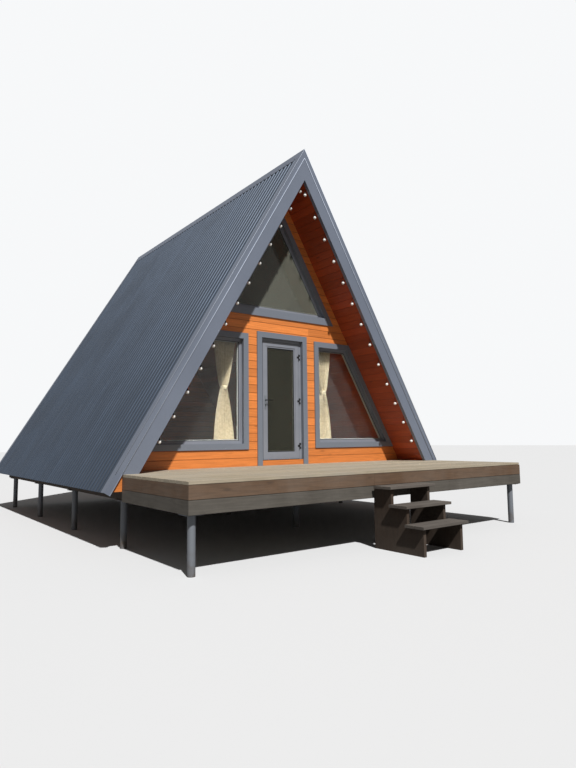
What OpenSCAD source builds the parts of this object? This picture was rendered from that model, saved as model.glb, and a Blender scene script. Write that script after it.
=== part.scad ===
// A-frame cabin: two steep ribbed metal roof slopes down to floor level, a boarded
// and glazed front gable set back under the verge, a timber deck and an open stair,
// all on round steel piles. Millimetres, +X to the right along the front gable,
// +Y into the house, +Z up. The origin is on the ground, below the centre of the
// whole footprint.

/* [Roof] */
// Half width of the roof at deck level, to its outer face
half_base = 3150; // [2900:10:3400]
// Height of the ridge above the deck
ridge_rise = 5260; // [4900:10:5700]
// How far the outer eave corner lies below the deck
eave_drop = 215; // [180:5:260]
// Length of the roof along the ridge
roof_length = 7000; // [6000:50:9000]
// Thickness of the roof, square to its slope
roof_t = 276; // [240:2:320]
// Distance from one rib of the roof sheet to the next
rib_pitch = 115; // [90:5:140]
// Depth of a rib
rib_h = 10; // [6:1:20]
// Width of a rib at its top
rib_top_w = 50; // [20:2:60]
// Width of each sloping side of a rib
rib_side_w = 8; // [4:1:12]
// Thickness of the sheet, the flashings and the ridge cap
sheet_t = 1; // [0.6:0.1:2]
// Width of each wing of the ridge cap
ridge_wing = 200; // [120:10:260]
// Thickness of the boards under the roof
lining_t = 20; // [14:1:28]
// Gap left between pieces that meet on the slopes
slope_gap = 0.1; // [0.05:0.05:0.3]
// Gap between the two roof sheets under the ridge cap
sheet_gap = 4; // [2:1:20]

/* [Verge] */
// Width of the flashing strip along the outer edge of the verge
flashing_face = 88; // [70:1:110]
// Width of the flashing's wing over the roof sheet
flashing_wing = 120; // [80:5:160]
// How far the hem of the flashing stands off the fascia
hem_out = 8; // [4:1:12]
// Thickness of the fascia board in its metal cover
fascia_t = 26; // [20:1:40]
// Width of the return of the fascia under the boards
return_w = 62; // [40:2:90]
// Thickness of that return
return_t = 3; // [2:0.5:6]

/* [Gables] */
// Distance from the front verge back to the front gable wall
front_recess = 680; // [450:10:1200]
// Distance from the back verge to the back gable wall
back_recess = 300; // [200:10:900]
// Thickness of the gable walls
wall_t = 150; // [120:5:180]
// Width of the end rafter that a gable wall shows along each slope
rafter_w = 60; // [50:5:75]
// Width of the casing boards round the openings
casing_w = 95; // [80:5:110]
// Thickness of the casing boards
casing_t = 22; // [16:1:30]
// How far a casing board laps over the frame of its opening
casing_lap = 15; // [8:1:20]
// How far the frames are set back from the face of the wall
frame_setback = 45; // [25:5:60]
// Width of a window or door frame, seen from the front
frame_w = 62; // [50:2:80]
// Depth of a window or door frame
frame_d = 70; // [60:2:80]
// Thickness of a sealed double pane
pane_t = 24; // [18:1:36]
// How deep a pane sits in its frame
pane_bite = 14; // [8:1:20]
// Width of the glazing bead, seen from the front
bead_w = 24; // [21:1:32]
// How far the glazing bead lies below the face of its frame
bead_step = 8; // [3:1:12]

/* [Windows] */
// Half the distance between the inner edges of the two lower window casings
window_inner = 700; // [640:5:760]
// Top of the lower window casings above the deck
window_top = 2160; // [2100:5:2180]
// Bottom of the lower window casings above the deck
window_bottom = 270; // [200:5:500]
// Top of the casing board below the upper window
transom_top = 2610; // [2560:5:2700]
// Width of that casing board
transom_w = 128; // [110:2:140]
// Width of the boards that show between the roof and the upper window's casing
upper_strip = 160; // [120:5:220]
// Width of the window in the back wall, over its casing
back_window_w = 1090; // [800:10:1160]
// Height of the back window's opening above the floor
back_window_bottom = 900; // [600:10:1100]

/* [Door] */
// Half width of the door casing
door_casing_half = 525; // [480:5:560]
// Top of the door casing above the deck
door_casing_top = 2220; // [2200:5:2300]
// Height of the boarded strip below the door
door_strip_h = 85; // [60:5:110]
// Running gap round the door leaf
leaf_gap = 6; // [5:0.5:10]
// Thickness of the door leaf
leaf_t = 62; // [50:2:70]
// How far the leaf stands proud of its frame
leaf_proud = 4; // [0:1:12]
// Width of the stiles and the top rail of the leaf
stile_w = 96; // [80:2:120]
// Height of the bottom rail of the leaf
bottom_rail_h = 125; // [100:5:200]
// Height of the handle's spindle above the deck
handle_z = 1080; // [950:10:1150]
// Length of the lever handles
lever_l = 125; // [110:5:150]
// Thickness and height of the levers
lever_t = 14; // [10:1:18]
lever_h = 18; // [14:1:24]
// Gap between a lever and the face of the leaf
lever_off = 44; // [38:2:60]
// Radius of the handle's spindle
spindle_r = 8; // [6:0.5:10]
// Running gap round the spindle
spindle_gap = 0.4; // [0.3:0.1:0.6]
// Half width of the handle plates
plate_half = 15; // [13:1:22]
// Thickness of the handle plates
handle_plate_t = 8; // [5:1:10]
// Height of the handle plates
handle_plate_h = 230; // [200:5:260]
// How far they reach below the spindle
handle_plate_low = 145; // [120:5:160]
// Radius of the hinge knuckles
hinge_r = 9; // [7:0.5:10]
// Width of the flaps of the hinges
flap_w = 36; // [30:2:50]
// Thickness of the flaps
flap_t = 4; // [3:0.5:5]
// Height of each hinge
hinge_h = 100; // [70:5:130]
// Distance of the outer hinges from the ends of the leaf
hinge_end = 220; // [150:10:300]
// Gap between two knuckles of a hinge
knuckle_gap = 0.4; // [0.3:0.1:1]
// Gap between the knuckles and the face of the leaf
knuckle_off = 1; // [1:0.5:3]
// Thickness of the arm that joins a knuckle to the leaf's flap
arm_t = 6; // [4:1:8]

/* [Floor] */
// Height of the deck above the ground
deck_h = 980; // [900:10:1400]
// Thickness of the floor and deck boards
floor_t = 36; // [28:1:45]
// Height of the joists and of the upper rim board
joist_h = 154; // [120:2:200]
// Height of the beams below them
beam_h = 155; // [120:5:200]
// Thickness of the beams
beam_w = 150; // [100:5:180]
// Space between the outer house beams and the inner face of the roof
beam_clear = 10; // [5:1:40]
// Thickness of the rim boards and joists of the deck
joist_t = 50; // [40:2:60]
// Thickness of the loft floor
loft_t = 180; // [140:5:220]

/* [Deck] */
// How far the deck reaches in front of the verge
deck_length = 1780; // [1200:10:2600]
// Half width of the deck
deck_half = 3034; // [2600:2:3040]
// Number of joists between the rim boards
deck_joists = 9; // [6:1:12]

/* [Stair] */
// Number of treads
steps = 3; // [2:1:4]
// Half width of the treads
tread_half = 430; // [380:5:600]
// Distance from the deck's rim to the front edge of the first tread
stair_reach = 350; // [320:5:400]
// Distance from one tread's front edge to the next
step_go = 250; // [220:5:280]
// How far a tread's front edge runs out past its stringer's step
nosing = 55; // [30:5:80]
// Gap between a tread and the step of the stringer behind it
tread_gap = 5; // [3:1:10]
// Thickness of a tread
tread_t = 40; // [32:2:50]
// Height of the first tread below the deck
stair_drop = 185; // [160:5:220]
// Height from one tread to the next
step_rise = 218; // [190:2:224]
// How far a tread runs out past its stringer
tread_out = 80; // [40:5:120]
// Thickness of a stringer
stringer_t = 45; // [36:1:60]

/* [Piles] */
// Outer radius of a pile
pile_r = 44; // [38:1:60]
// Side of the square plate on a pile
plate_w = 200; // [150:5:250]
// Thickness of that plate
plate_t = 8; // [6:1:14]
// Distance of the deck's piles from its front edge
deck_pile_inset = 130; // [100:5:300]
// Number of piles along each house beam
house_pile_count = 4; // [3:1:6]
// Distance of the first house piles from the front verge
pile_inset = 350; // [200:10:600]

/* [Curtains] */
// Height of the top of the curtains above the floor
curtain_top = 2200; // [2120:10:2260]
// Height of their lower edge above the floor
curtain_bottom = 40; // [20:5:200]
// Height of the tie of the curtains
curtain_tie = 1270; // [1100:10:1500]
// Half width of a curtain at its top
curtain_half = 220; // [140:5:230]
// Half width of a curtain at its tie
curtain_waist = 50; // [40:5:100]
// Depth of the gathered cloth
curtain_d = 90; // [60:5:120]
// Gap between a curtain and the wall that it hangs on
curtain_gap = 0.3; // [0.2:0.1:1]
// Distance of the curtains from the middle of the cabin
curtain_x = 1030; // [1020:10:1300]

/* [Hidden] */
$fn = 48;

graphite = [0.27, 0.29, 0.33];
orange_wood = [0.80, 0.42, 0.18];
grey_wood = [0.52, 0.47, 0.41];
dark_wood = [0.26, 0.21, 0.17];
steel = [0.55, 0.57, 0.60];
glass = [0.35, 0.40, 0.38, 0.5];
black = [0.08, 0.08, 0.09];

// Slope of the roof: the half angle at the ridge, and how far a plane at depth n
// below the outer face lies below the ridge on the centre line
half_angle = atan(half_base / ridge_rise);
function apex_z(n) = ridge_rise - n / sin(half_angle);
function slope_x(n, z) = (apex_z(n) - z) * tan(half_angle);
// A point at distance s down the outer face and depth n below it
function slope_pt(s, n) = [
    s * sin(half_angle) - n * cos(half_angle),
    ridge_rise - s * cos(half_angle) - n * sin(half_angle),
];
slope_end = (ridge_rise + eave_drop) / cos(half_angle);

// Depths of the layers of the roof: flashings, tops of the ribs, panels, lining and
// what stands inside under it
flashing_n = sheet_t + slope_gap;
rib_n = flashing_n + sheet_t + slope_gap;
sheet_n = rib_n + rib_h + sheet_t;
panel_n = sheet_n + slope_gap;
lining_n = roof_t - lining_t;
inner_n = roof_t + slope_gap;

front_wall_y = front_recess;
back_wall_y = roof_length - back_recess - wall_t;
frame_y = front_wall_y + frame_setback;
back_frame_y = back_wall_y + wall_t - frame_setback - frame_d;

// Levels below the deck
floor_bottom = -floor_t;
joist_bottom = floor_bottom - joist_h;
beam_bottom = joist_bottom - beam_h;

// Outline of the door opening and of its leaf
door_half = door_casing_half - casing_w + casing_lap;
door_top = door_casing_top - casing_w + casing_lap;
leaf_half = door_half - frame_w - leaf_gap;
leaf_top = door_top - frame_w - leaf_gap;
leaf_bottom = door_strip_h + leaf_gap;
leaf_y = frame_y - leaf_proud;
hinge_x = leaf_half + leaf_gap;
hinge_y = leaf_y - hinge_r - knuckle_off;
spindle_x = -leaf_half + stile_w / 2;

// Openings of the windows, inside their casings
window_in = window_inner + casing_w - casing_lap;
window_hi = window_top - casing_w + casing_lap;
window_lo = window_bottom + casing_w - casing_lap;
upper_lo = transom_top - casing_lap;
rafter_n = roof_t + rafter_w;
wall_n = rafter_n + slope_gap;
upper_casing_n = roof_t + upper_strip;
upper_n = upper_casing_n + casing_w - casing_lap;

tread_d = step_go + nosing - tread_gap;
stair_front = -deck_length - stair_reach - (steps - 1) * step_go;
mid_y = (stair_front + roof_length + hem_out) / 2;

// How far a cutting shape reaches past what it cuts
over = 1;

// Puts what is drawn about the deck's level and the front verge in the part's frame
module placed() {
    translate([0, -mid_y, deck_h]) children();
}

// Extrudes an outline in X and Z from y0 to y1
module slab(y0, y1, points) {
    translate([0, y1, 0]) rotate([90, 0, 0]) linear_extrude(height = y1 - y0) polygon(points);
}

// The same outline less an inner one
module ring_slab(y0, y1, outer, inner) {
    translate([0, y1, 0]) rotate([90, 0, 0]) linear_extrude(height = y1 - y0)
        difference() {
            polygon(outer);
            polygon(inner);
        }
}

// Mirrors a right-hand piece to the left
module to_left() {
    mirror([1, 0, 0]) children();
}

// Draws a right-hand piece on both sides
module both_sides() {
    children();
    to_left() children();
}

// Lays children, drawn with X down the slope and Z outwards, on the right-hand slope
module on_slope() {
    translate([0, 0, ridge_rise]) rotate([0, 90 - half_angle, 0]) children();
}

// Keeps only what lies right of the ridge's plane
module right_half() {
    intersection() {
        children();
        translate([0, -deck_length, -deck_h]) cube([2 * half_base, 2 * roof_length, 2 * ridge_rise]);
    }
}

// An outline between two depths of the roof, from the ridge to a level cut at z
function band(n0, n1, z) = [
    [0, apex_z(n0)], [slope_x(n0, z), z], [slope_x(n1, z), z], [0, apex_z(n1)],
];

// The panel is cut level at the eave, and the sheet reaches a little past it
module roof_panel() {
    color(orange_wood) slab(fascia_t, roof_length - fascia_t,
                            band(panel_n, lining_n - slope_gap, -eave_drop));
}

// Ribbed sheet, from the points of one rib repeated along the roof
rib_count = floor((roof_length - rib_pitch) / rib_pitch);
rib_start = (roof_length - rib_count * rib_pitch) / 2;
rib_flat = (rib_pitch - rib_top_w - 2 * rib_side_w) / 2;
function rib_points(low) = concat(
    [[sheet_t, low]],
    [for (i = [0 : rib_count - 1])
        for (p = [[rib_flat, 0], [rib_flat + rib_side_w, rib_h],
                  [rib_pitch - rib_flat - rib_side_w, rib_h], [rib_pitch - rib_flat, 0]])
            [rib_start + i * rib_pitch + p[0], low + p[1]]],
    [[roof_length - sheet_t, low]]
);
module roof_sheet() {
    start = sheet_n / tan(half_angle) + sheet_gap / 2;
    color(graphite) on_slope() translate([start, 0, -sheet_n]) rotate([90, 0, 90])
        linear_extrude(height = slope_end - start)
            polygon(concat(rib_points(sheet_t),
                           [for (i = [4 * rib_count + 1 : -1 : 0]) rib_points(0)[i]]));
}

module ridge_cap() {
    color(graphite) placed() slab(0, roof_length, [
        [0, apex_z(0)], slope_pt(ridge_wing, 0), slope_pt(ridge_wing, sheet_t), [0, apex_z(sheet_t)],
        [-slope_pt(ridge_wing, sheet_t)[0], slope_pt(ridge_wing, sheet_t)[1]],
        [-slope_pt(ridge_wing, 0)[0], slope_pt(ridge_wing, 0)[1]],
    ]);
}

module roof_lining() {
    color(orange_wood) slab(fascia_t, roof_length - fascia_t, band(lining_n, roof_t, 0));
}

// Verge flashing: a wing on the sheet's ribs, a strip down the front and a hem
flashing_profile = [
    [0, -flashing_n], [flashing_wing, -flashing_n],
    [flashing_wing, -flashing_n - sheet_t], [sheet_t, -flashing_n - sheet_t],
    [sheet_t, -flashing_face + hem_out], [sheet_t - hem_out, -flashing_face],
    [-hem_out, -flashing_face], [0, -flashing_face + hem_out],
];
module verge_flashings() {
    color(graphite) both_sides() right_half() on_slope() rotate([90, 0, 90])
        linear_extrude(height = slope_end) polygon(flashing_profile);
}

// Fascia: the clad board on the roof's end and its return under the boards
module verge_fascia(z) {
    color(graphite) {
        slab(sheet_t, fascia_t, band(panel_n, roof_t + return_t, z));
        slab(sheet_t, return_w, band(inner_n, roof_t + return_t, z));
    }
}

// Turns a piece of the front verge round to the back one
module to_back() {
    translate([0, roof_length, 0]) mirror([0, 1, 0]) children();
}

module gable_rafter(y0) {
    color(orange_wood) slab(y0, y0 + wall_t, band(inner_n, rafter_n, 0));
}

// Outline of a lower window: slanted along the rafter, upright beside the door
function window_outline(inner_x, lo, hi, n) = [
    [inner_x, lo], [slope_x(n, lo), lo], [slope_x(n, hi), hi], [inner_x, hi],
];
// Outline of the upper window
function upper_outline(lo, n) = [[-slope_x(n, lo), lo], [slope_x(n, lo), lo], [0, apex_z(n)]];

// Both openings, with every side moved inwards by d
function window_inset(d) = window_outline(window_in + d, window_lo + d, window_hi - d, wall_n + d);
function upper_inset(d) = upper_outline(upper_lo + d, upper_n + d);

module front_sills() {
    color(orange_wood) placed() both_sides() slab(front_wall_y, front_wall_y + wall_t,
        window_outline(door_half, 0, window_lo, wall_n));
}

module front_piers() {
    color(orange_wood) placed() both_sides() translate([door_half, front_wall_y, window_lo])
        cube([window_in - door_half, wall_t, window_hi - window_lo]);
}

module front_head_wall() {
    color(orange_wood) placed() slab(front_wall_y, front_wall_y + wall_t, [
        [slope_x(wall_n, window_hi), window_hi], [slope_x(wall_n, upper_lo), upper_lo],
        [-slope_x(wall_n, upper_lo), upper_lo], [-slope_x(wall_n, window_hi), window_hi],
        [-door_half, window_hi], [-door_half, door_top], [door_half, door_top], [door_half, window_hi],
    ]);
}

// The boards between the rafters and the upper window
module front_peak_wall() {
    color(orange_wood) placed() ring_slab(front_wall_y, front_wall_y + wall_t,
        upper_outline(upper_lo, wall_n), upper_inset(0));
}

// The back wall keeps the end rafters in one piece with the boards between them
back_half = back_window_w / 2 - casing_w + casing_lap;
function back_inset(d) = [
    [-back_half + d, back_window_bottom + d], [back_half - d, back_window_bottom + d],
    [back_half - d, window_hi - d], [-back_half + d, window_hi - d],
];
module back_wall() {
    color(orange_wood) placed() difference() {
        slab(back_wall_y, back_wall_y + wall_t, [
            [-slope_x(inner_n, 0), 0], [slope_x(inner_n, 0), 0], [0, apex_z(inner_n)],
        ]);
        slab(back_wall_y - over, back_wall_y + wall_t + over, back_inset(0));
        slab(back_wall_y - over, back_wall_y + wall_t + over, upper_inset(0));
    }
}

module window_casings() {
    color(graphite) placed() both_sides() ring_slab(front_wall_y - casing_t, front_wall_y,
        window_outline(window_inner, window_bottom, window_top, inner_n),
        window_outline(window_inner + casing_w, window_bottom + casing_w, window_top - casing_w,
                       roof_t + casing_w));
}

module upper_casing_at(y0) {
    ring_slab(y0, y0 + casing_t,
        upper_outline(transom_top - transom_w, upper_casing_n),
        upper_outline(transom_top, upper_casing_n + casing_w));
}
module upper_casing() {
    color(graphite) placed() upper_casing_at(front_wall_y - casing_t);
}

module door_casing() {
    color(graphite) placed() slab(front_wall_y - casing_t, front_wall_y, [
        [-door_casing_half, 0], [-door_casing_half, door_casing_top], [door_casing_half, door_casing_top],
        [door_casing_half, 0], [door_casing_half - casing_w, 0],
        [door_casing_half - casing_w, door_casing_top - casing_w],
        [-door_casing_half + casing_w, door_casing_top - casing_w], [-door_casing_half + casing_w, 0],
    ]);
}

// A pane that fills the middle of its frame's depth; inset gives the outline of the
// opening with every side moved inwards by a distance
module pane_slab(y0, inset) {
    slab(y0 + (frame_d - pane_t) / 2, y0 + (frame_d + pane_t) / 2, inset(frame_w - pane_bite));
}

// A frame ring with a lower glazing bead on both faces and a groove for its pane
module glazed_frame(y0, inset) {
    difference() {
        ring_slab(y0, y0 + frame_d, inset(0), inset(frame_w));
        slab(y0 - over, y0 + bead_step, inset(frame_w - bead_w));
        slab(y0 + frame_d - bead_step, y0 + frame_d + over, inset(frame_w - bead_w));
        pane_slab(y0, inset);
    }
}

module window_frames() {
    color(graphite) placed() both_sides() glazed_frame(frame_y, function(d) window_inset(d));
}
module window_panes() {
    color(glass) placed() both_sides() pane_slab(frame_y, function(d) window_inset(d));
}
module upper_frame() {
    color(graphite) placed() glazed_frame(frame_y, function(d) upper_inset(d));
}
module upper_pane() {
    color(glass) placed() pane_slab(frame_y, function(d) upper_inset(d));
}

module door_frame() {
    color(graphite) placed() slab(frame_y, frame_y + frame_d, [
        [-door_half, door_strip_h], [-door_half, door_top], [door_half, door_top], [door_half, door_strip_h],
        [door_half - frame_w, door_strip_h], [door_half - frame_w, door_top - frame_w],
        [-door_half + frame_w, door_top - frame_w], [-door_half + frame_w, door_strip_h],
    ]);
}

module door_strip() {
    color(orange_wood) placed() translate([-door_half, front_wall_y, 0])
        cube([2 * door_half, wall_t, door_strip_h]);
}

// The glazed opening of the leaf, with every side moved outwards by d
function leaf_opening(d) = [
    [-leaf_half + stile_w - d, leaf_bottom + bottom_rail_h - d],
    [leaf_half - stile_w + d, leaf_bottom + bottom_rail_h - d],
    [leaf_half - stile_w + d, leaf_top - stile_w + d], [-leaf_half + stile_w - d, leaf_top - stile_w + d],
];
module leaf_pane_slab() {
    slab(leaf_y + (leaf_t - pane_t) / 2, leaf_y + (leaf_t + pane_t) / 2, leaf_opening(pane_bite));
}

// The leaf: stiles and rails round one tall pane, with a lower glazing bead
module door_leaf() {
    color(graphite) placed() difference() {
        translate([-leaf_half, leaf_y, leaf_bottom]) cube([2 * leaf_half, leaf_t, leaf_top - leaf_bottom]);
        slab(leaf_y - over, leaf_y + leaf_t + over, leaf_opening(0));
        slab(leaf_y - over, leaf_y + bead_step, leaf_opening(bead_w));
        slab(leaf_y + leaf_t - bead_step, leaf_y + leaf_t + over, leaf_opening(bead_w));
        leaf_pane_slab();
        translate([spindle_x, leaf_y - over, handle_z]) rotate([-90, 0, 0])
            cylinder(h = leaf_t + 2 * over, r = spindle_r + spindle_gap);
    }
}
module door_pane() {
    color(glass) placed() leaf_pane_slab();
}

// Long plates of the handle, one on each face of the leaf
module handle_plates() {
    color(black) placed() for (side = [0, 1])
        translate([spindle_x, leaf_y + side * leaf_t, handle_z]) mirror([0, side, 0]) difference() {
            translate([-plate_half, -handle_plate_t, -handle_plate_low])
                cube([2 * plate_half, handle_plate_t, handle_plate_h]);
            rotate([90, 0, 0]) translate([0, 0, -over])
                cylinder(h = handle_plate_t + 2 * over, r = spindle_r + spindle_gap);
        }
}

// The two levers on their common spindle
module door_handle() {
    color(black) placed() translate([spindle_x, 0, handle_z]) {
        translate([0, leaf_y - lever_off, 0]) rotate([-90, 0, 0])
            cylinder(h = leaf_t + 2 * lever_off, r = spindle_r);
        for (side = [0, 1]) translate([0, leaf_y + side * leaf_t, 0]) mirror([0, side, 0])
            translate([-lever_h / 2, -lever_off - lever_t, -lever_h / 2]) cube([lever_l, lever_t, lever_h]);
    }
}

hinge_zs = [leaf_bottom + hinge_end, (leaf_bottom + leaf_top) / 2, leaf_top - hinge_end];
knuckle_h = hinge_h / 3;
// Middle knuckles and flaps of the hinges, on the leaf
module door_hinges() {
    color(black) placed() for (z = hinge_zs) translate([hinge_x, hinge_y, z]) {
        translate([0, 0, -knuckle_h / 2 + knuckle_gap])
            cylinder(h = knuckle_h - 2 * knuckle_gap, r = hinge_r);
        translate([-flap_w, hinge_r - flap_t + knuckle_off, -knuckle_h / 2 + knuckle_gap])
            cube([flap_w - leaf_gap / 2, flap_t, knuckle_h - 2 * knuckle_gap]);
        translate([-leaf_gap / 2 - arm_t, 0, -knuckle_h / 2 + knuckle_gap])
            cube([arm_t, hinge_r + knuckle_off, knuckle_h - 2 * knuckle_gap]);
    }
}
// Outer knuckles and flaps, on the frame
module hinge_plates() {
    color(black) placed() for (z = hinge_zs, side = [-1, 1])
        translate([hinge_x, hinge_y, z + side * knuckle_h - knuckle_h / 2]) {
            cylinder(h = knuckle_h, r = hinge_r);
            cube([arm_t, frame_y - hinge_y, knuckle_h]);
            translate([0, frame_y - hinge_y - flap_t, 0]) cube([flap_w, flap_t, knuckle_h]);
        }
}

module back_casings() {
    color(graphite) placed() {
        ring_slab(back_wall_y + wall_t, back_wall_y + wall_t + casing_t,
            back_inset(casing_lap - casing_w), back_inset(casing_lap));
        upper_casing_at(back_wall_y + wall_t);
    }
}
module back_frames() {
    color(graphite) placed() {
        glazed_frame(back_frame_y, function(d) back_inset(d));
        glazed_frame(back_frame_y, function(d) upper_inset(d));
    }
}
module back_panes() {
    color(glass) placed() {
        pane_slab(back_frame_y, function(d) back_inset(d));
        pane_slab(back_frame_y, function(d) upper_inset(d));
    }
}

// A floor that fills the width between the slopes
module between_slopes(y0, y1, z0, z1, n) {
    slab(y0, y1, [
        [-slope_x(n, z0), z0], [slope_x(n, z0), z0], [slope_x(n, z1), z1], [-slope_x(n, z1), z1],
    ]);
}
module house_floor() {
    color(grey_wood) placed() between_slopes(fascia_t, roof_length - fascia_t, floor_bottom, 0, lining_n);
}
module floor_frame() {
    color(dark_wood) placed()
        between_slopes(fascia_t, roof_length - fascia_t, joist_bottom, floor_bottom, lining_n);
}
module loft_floor() {
    color(orange_wood) placed()
        between_slopes(front_wall_y + wall_t, back_wall_y, transom_top - transom_w - loft_t,
                       transom_top - transom_w, inner_n);
}

// The house beams lie inside the slopes, the deck beams below the rim boards
beam_out = slope_x(lining_n, joist_bottom) - beam_clear;
house_beam_x = beam_out - beam_w / 2;
module side_beams() {
    color(dark_wood) placed() {
        for (side = [-1, 1]) translate([side * house_beam_x - beam_w / 2, fascia_t, beam_bottom])
            cube([beam_w, roof_length - 2 * fascia_t, beam_h]);
        translate([-beam_w / 2, -deck_length, beam_bottom])
            cube([beam_w, deck_length + roof_length - fascia_t, beam_h]);
    }
}
module deck_beams() {
    color(dark_wood) placed() both_sides() translate([deck_half - beam_w, -deck_length, beam_bottom])
        cube([beam_w, deck_length + fascia_t, beam_h]);
}
module cross_beams() {
    color(dark_wood) placed() both_sides() {
        translate([beam_w / 2, -deck_length, beam_bottom])
            cube([deck_half - beam_w - beam_w / 2, beam_w, beam_h]);
        translate([beam_w / 2, roof_length - fascia_t - beam_w, beam_bottom])
            cube([house_beam_x - beam_w, beam_w, beam_h]);
    }
}

// Round piles with a square plate under the beams
module pile_at(x, y) {
    translate([x, y, -deck_h]) cylinder(h = deck_h + beam_bottom - plate_t / 2, r = pile_r);
    translate([x - plate_w / 2, y - plate_w / 2, beam_bottom - plate_t]) cube([plate_w, plate_w, plate_t]);
}
module deck_piles() {
    color(steel) placed() for (side = [-1, 0, 1])
        pile_at(side * (deck_half - plate_w / 2), -deck_length + deck_pile_inset);
}
module house_piles() {
    pitch = (roof_length - 2 * pile_inset) / (house_pile_count - 1);
    color(steel) placed() for (side = [-1, 0, 1], i = [0 : house_pile_count - 1])
        pile_at(side * house_beam_x, pile_inset + i * pitch);
}

module deck_floor() {
    color(grey_wood) placed() translate([-deck_half, -deck_length, floor_bottom])
        cube([2 * deck_half, deck_length + fascia_t, floor_t]);
}
module deck_frame() {
    bay = (2 * deck_half - joist_t) / (deck_joists + 1);
    color(dark_wood) placed() {
        for (i = [0 : deck_joists + 1]) translate([-deck_half + i * bay, -deck_length, joist_bottom])
            cube([joist_t, deck_length + fascia_t, joist_h]);
        translate([-deck_half, -deck_length, joist_bottom]) cube([2 * deck_half, joist_t, joist_h]);
    }
}

// Front edge and top of a tread, counted from the deck
function step_y(i) = -deck_length - stair_reach - (i - 1) * step_go;
function step_z(i) = -stair_drop - (i - 1) * step_rise;
module stair_treads() {
    color(grey_wood) placed() for (i = [1 : steps]) translate([-tread_half, step_y(i), step_z(i) - tread_t])
        cube([2 * tread_half, tread_d, tread_t]);
}

// Stepped stringers from the deck's rim to the ground
module stair_stringers() {
    color(dark_wood) placed() for (side = [-1, 1])
        translate([side * (tread_half - tread_out) - stringer_t / 2, 0, 0]) rotate([90, 0, 90])
            linear_extrude(height = stringer_t) polygon(concat(
                [[-deck_length, -deck_h], [-deck_length, step_z(1) - tread_t]],
                [for (i = [1 : steps]) for (p = [[step_y(i) + nosing, step_z(i) - tread_t],
                    [step_y(i) + nosing, i < steps ? step_z(i + 1) - tread_t : -deck_h]]) p]
            ));
}

// Curtains: cloth gathered at a tie, wide above it and below
module curtain(x) {
    y = front_wall_y + wall_t + curtain_d / 2 + curtain_gap;
    color([0.88, 0.86, 0.76]) placed() translate([x, y, 0]) rotate([90, 0, 0])
        linear_extrude(height = curtain_d, center = true) polygon([
            [-curtain_half, curtain_top], [curtain_half, curtain_top], [curtain_waist, curtain_tie],
            [curtain_half, curtain_bottom], [-curtain_half, curtain_bottom], [-curtain_waist, curtain_tie],
        ]);
}

house_floor();
floor_frame();
side_beams();
deck_beams();
cross_beams();
deck_piles();
house_piles();
deck_floor();
deck_frame();
stair_treads();
stair_stringers();
placed() to_left() roof_panel();  // roof_panel_left
placed() roof_panel();  // roof_panel_right
placed() to_left() roof_sheet();  // roof_sheet_left
placed() roof_sheet();  // roof_sheet_right
ridge_cap();
placed() to_left() roof_lining();  // roof_lining_left
placed() roof_lining();  // roof_lining_right
placed() verge_flashings();  // front_flashings
placed() to_back() verge_flashings();  // back_flashings
placed() to_left() verge_fascia(0);  // front_fascia_left
placed() verge_fascia(0);  // front_fascia_right
placed() to_left() to_back() verge_fascia(0);  // back_fascia_left
placed() to_back() verge_fascia(0);  // back_fascia_right
placed() to_left() gable_rafter(front_wall_y);  // front_rafter_left
placed() gable_rafter(front_wall_y);  // front_rafter_right
front_sills();
front_piers();
front_head_wall();
front_peak_wall();
back_wall();
loft_floor();
window_casings();
upper_casing();
door_casing();
window_frames();
upper_frame();
door_frame();
window_panes();
upper_pane();
door_strip();
hinge_plates();
door_leaf();
door_pane();
door_hinges();
handle_plates();
door_handle();
back_casings();
back_frames();
back_panes();
curtain(-curtain_x);  // curtain_left
curtain(curtain_x);  // curtain_right
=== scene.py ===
"""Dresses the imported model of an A-frame cabin: boards, coated metal, glazing, hardware,
lamps and curtains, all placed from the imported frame, in metres."""

import math
import random

import bmesh
import bpy
from bpy.props import FloatProperty, FloatVectorProperty, IntProperty, PointerProperty
from mathutils import Matrix, Vector


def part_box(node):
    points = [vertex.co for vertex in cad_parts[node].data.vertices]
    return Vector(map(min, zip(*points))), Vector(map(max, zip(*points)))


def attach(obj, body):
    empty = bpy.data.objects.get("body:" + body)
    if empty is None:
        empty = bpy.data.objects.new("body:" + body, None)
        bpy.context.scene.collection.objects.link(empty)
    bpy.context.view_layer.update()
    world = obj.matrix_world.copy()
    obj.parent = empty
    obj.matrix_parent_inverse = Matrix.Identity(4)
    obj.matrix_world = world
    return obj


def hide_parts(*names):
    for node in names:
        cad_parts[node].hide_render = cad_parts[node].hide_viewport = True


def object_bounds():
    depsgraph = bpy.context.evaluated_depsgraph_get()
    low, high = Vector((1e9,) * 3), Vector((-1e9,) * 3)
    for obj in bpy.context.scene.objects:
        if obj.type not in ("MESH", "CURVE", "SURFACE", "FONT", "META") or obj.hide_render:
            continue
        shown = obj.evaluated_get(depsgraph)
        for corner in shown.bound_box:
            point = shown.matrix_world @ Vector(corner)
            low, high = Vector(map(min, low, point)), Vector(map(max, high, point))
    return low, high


bl_info = {
    "name": "A-frame cabin",
    "version": (1, 0, 0),
    "blender": (4, 5, 0),
    "location": "View3D > Sidebar > Cabin",
    "description": "Boards, metalwork, glazing, lamps and curtains for an A-frame cabin",
    "category": "Object",
}

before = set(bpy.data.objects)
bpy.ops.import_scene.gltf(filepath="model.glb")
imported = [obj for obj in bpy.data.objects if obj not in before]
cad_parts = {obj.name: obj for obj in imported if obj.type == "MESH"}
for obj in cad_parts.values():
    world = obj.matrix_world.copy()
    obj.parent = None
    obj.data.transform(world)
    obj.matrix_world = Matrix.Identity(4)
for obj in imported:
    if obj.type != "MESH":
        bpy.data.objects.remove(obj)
CAD_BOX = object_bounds()


def low(node):
    """The lowest corner of a CAD node."""
    return Vector(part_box(node)[0])


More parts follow.
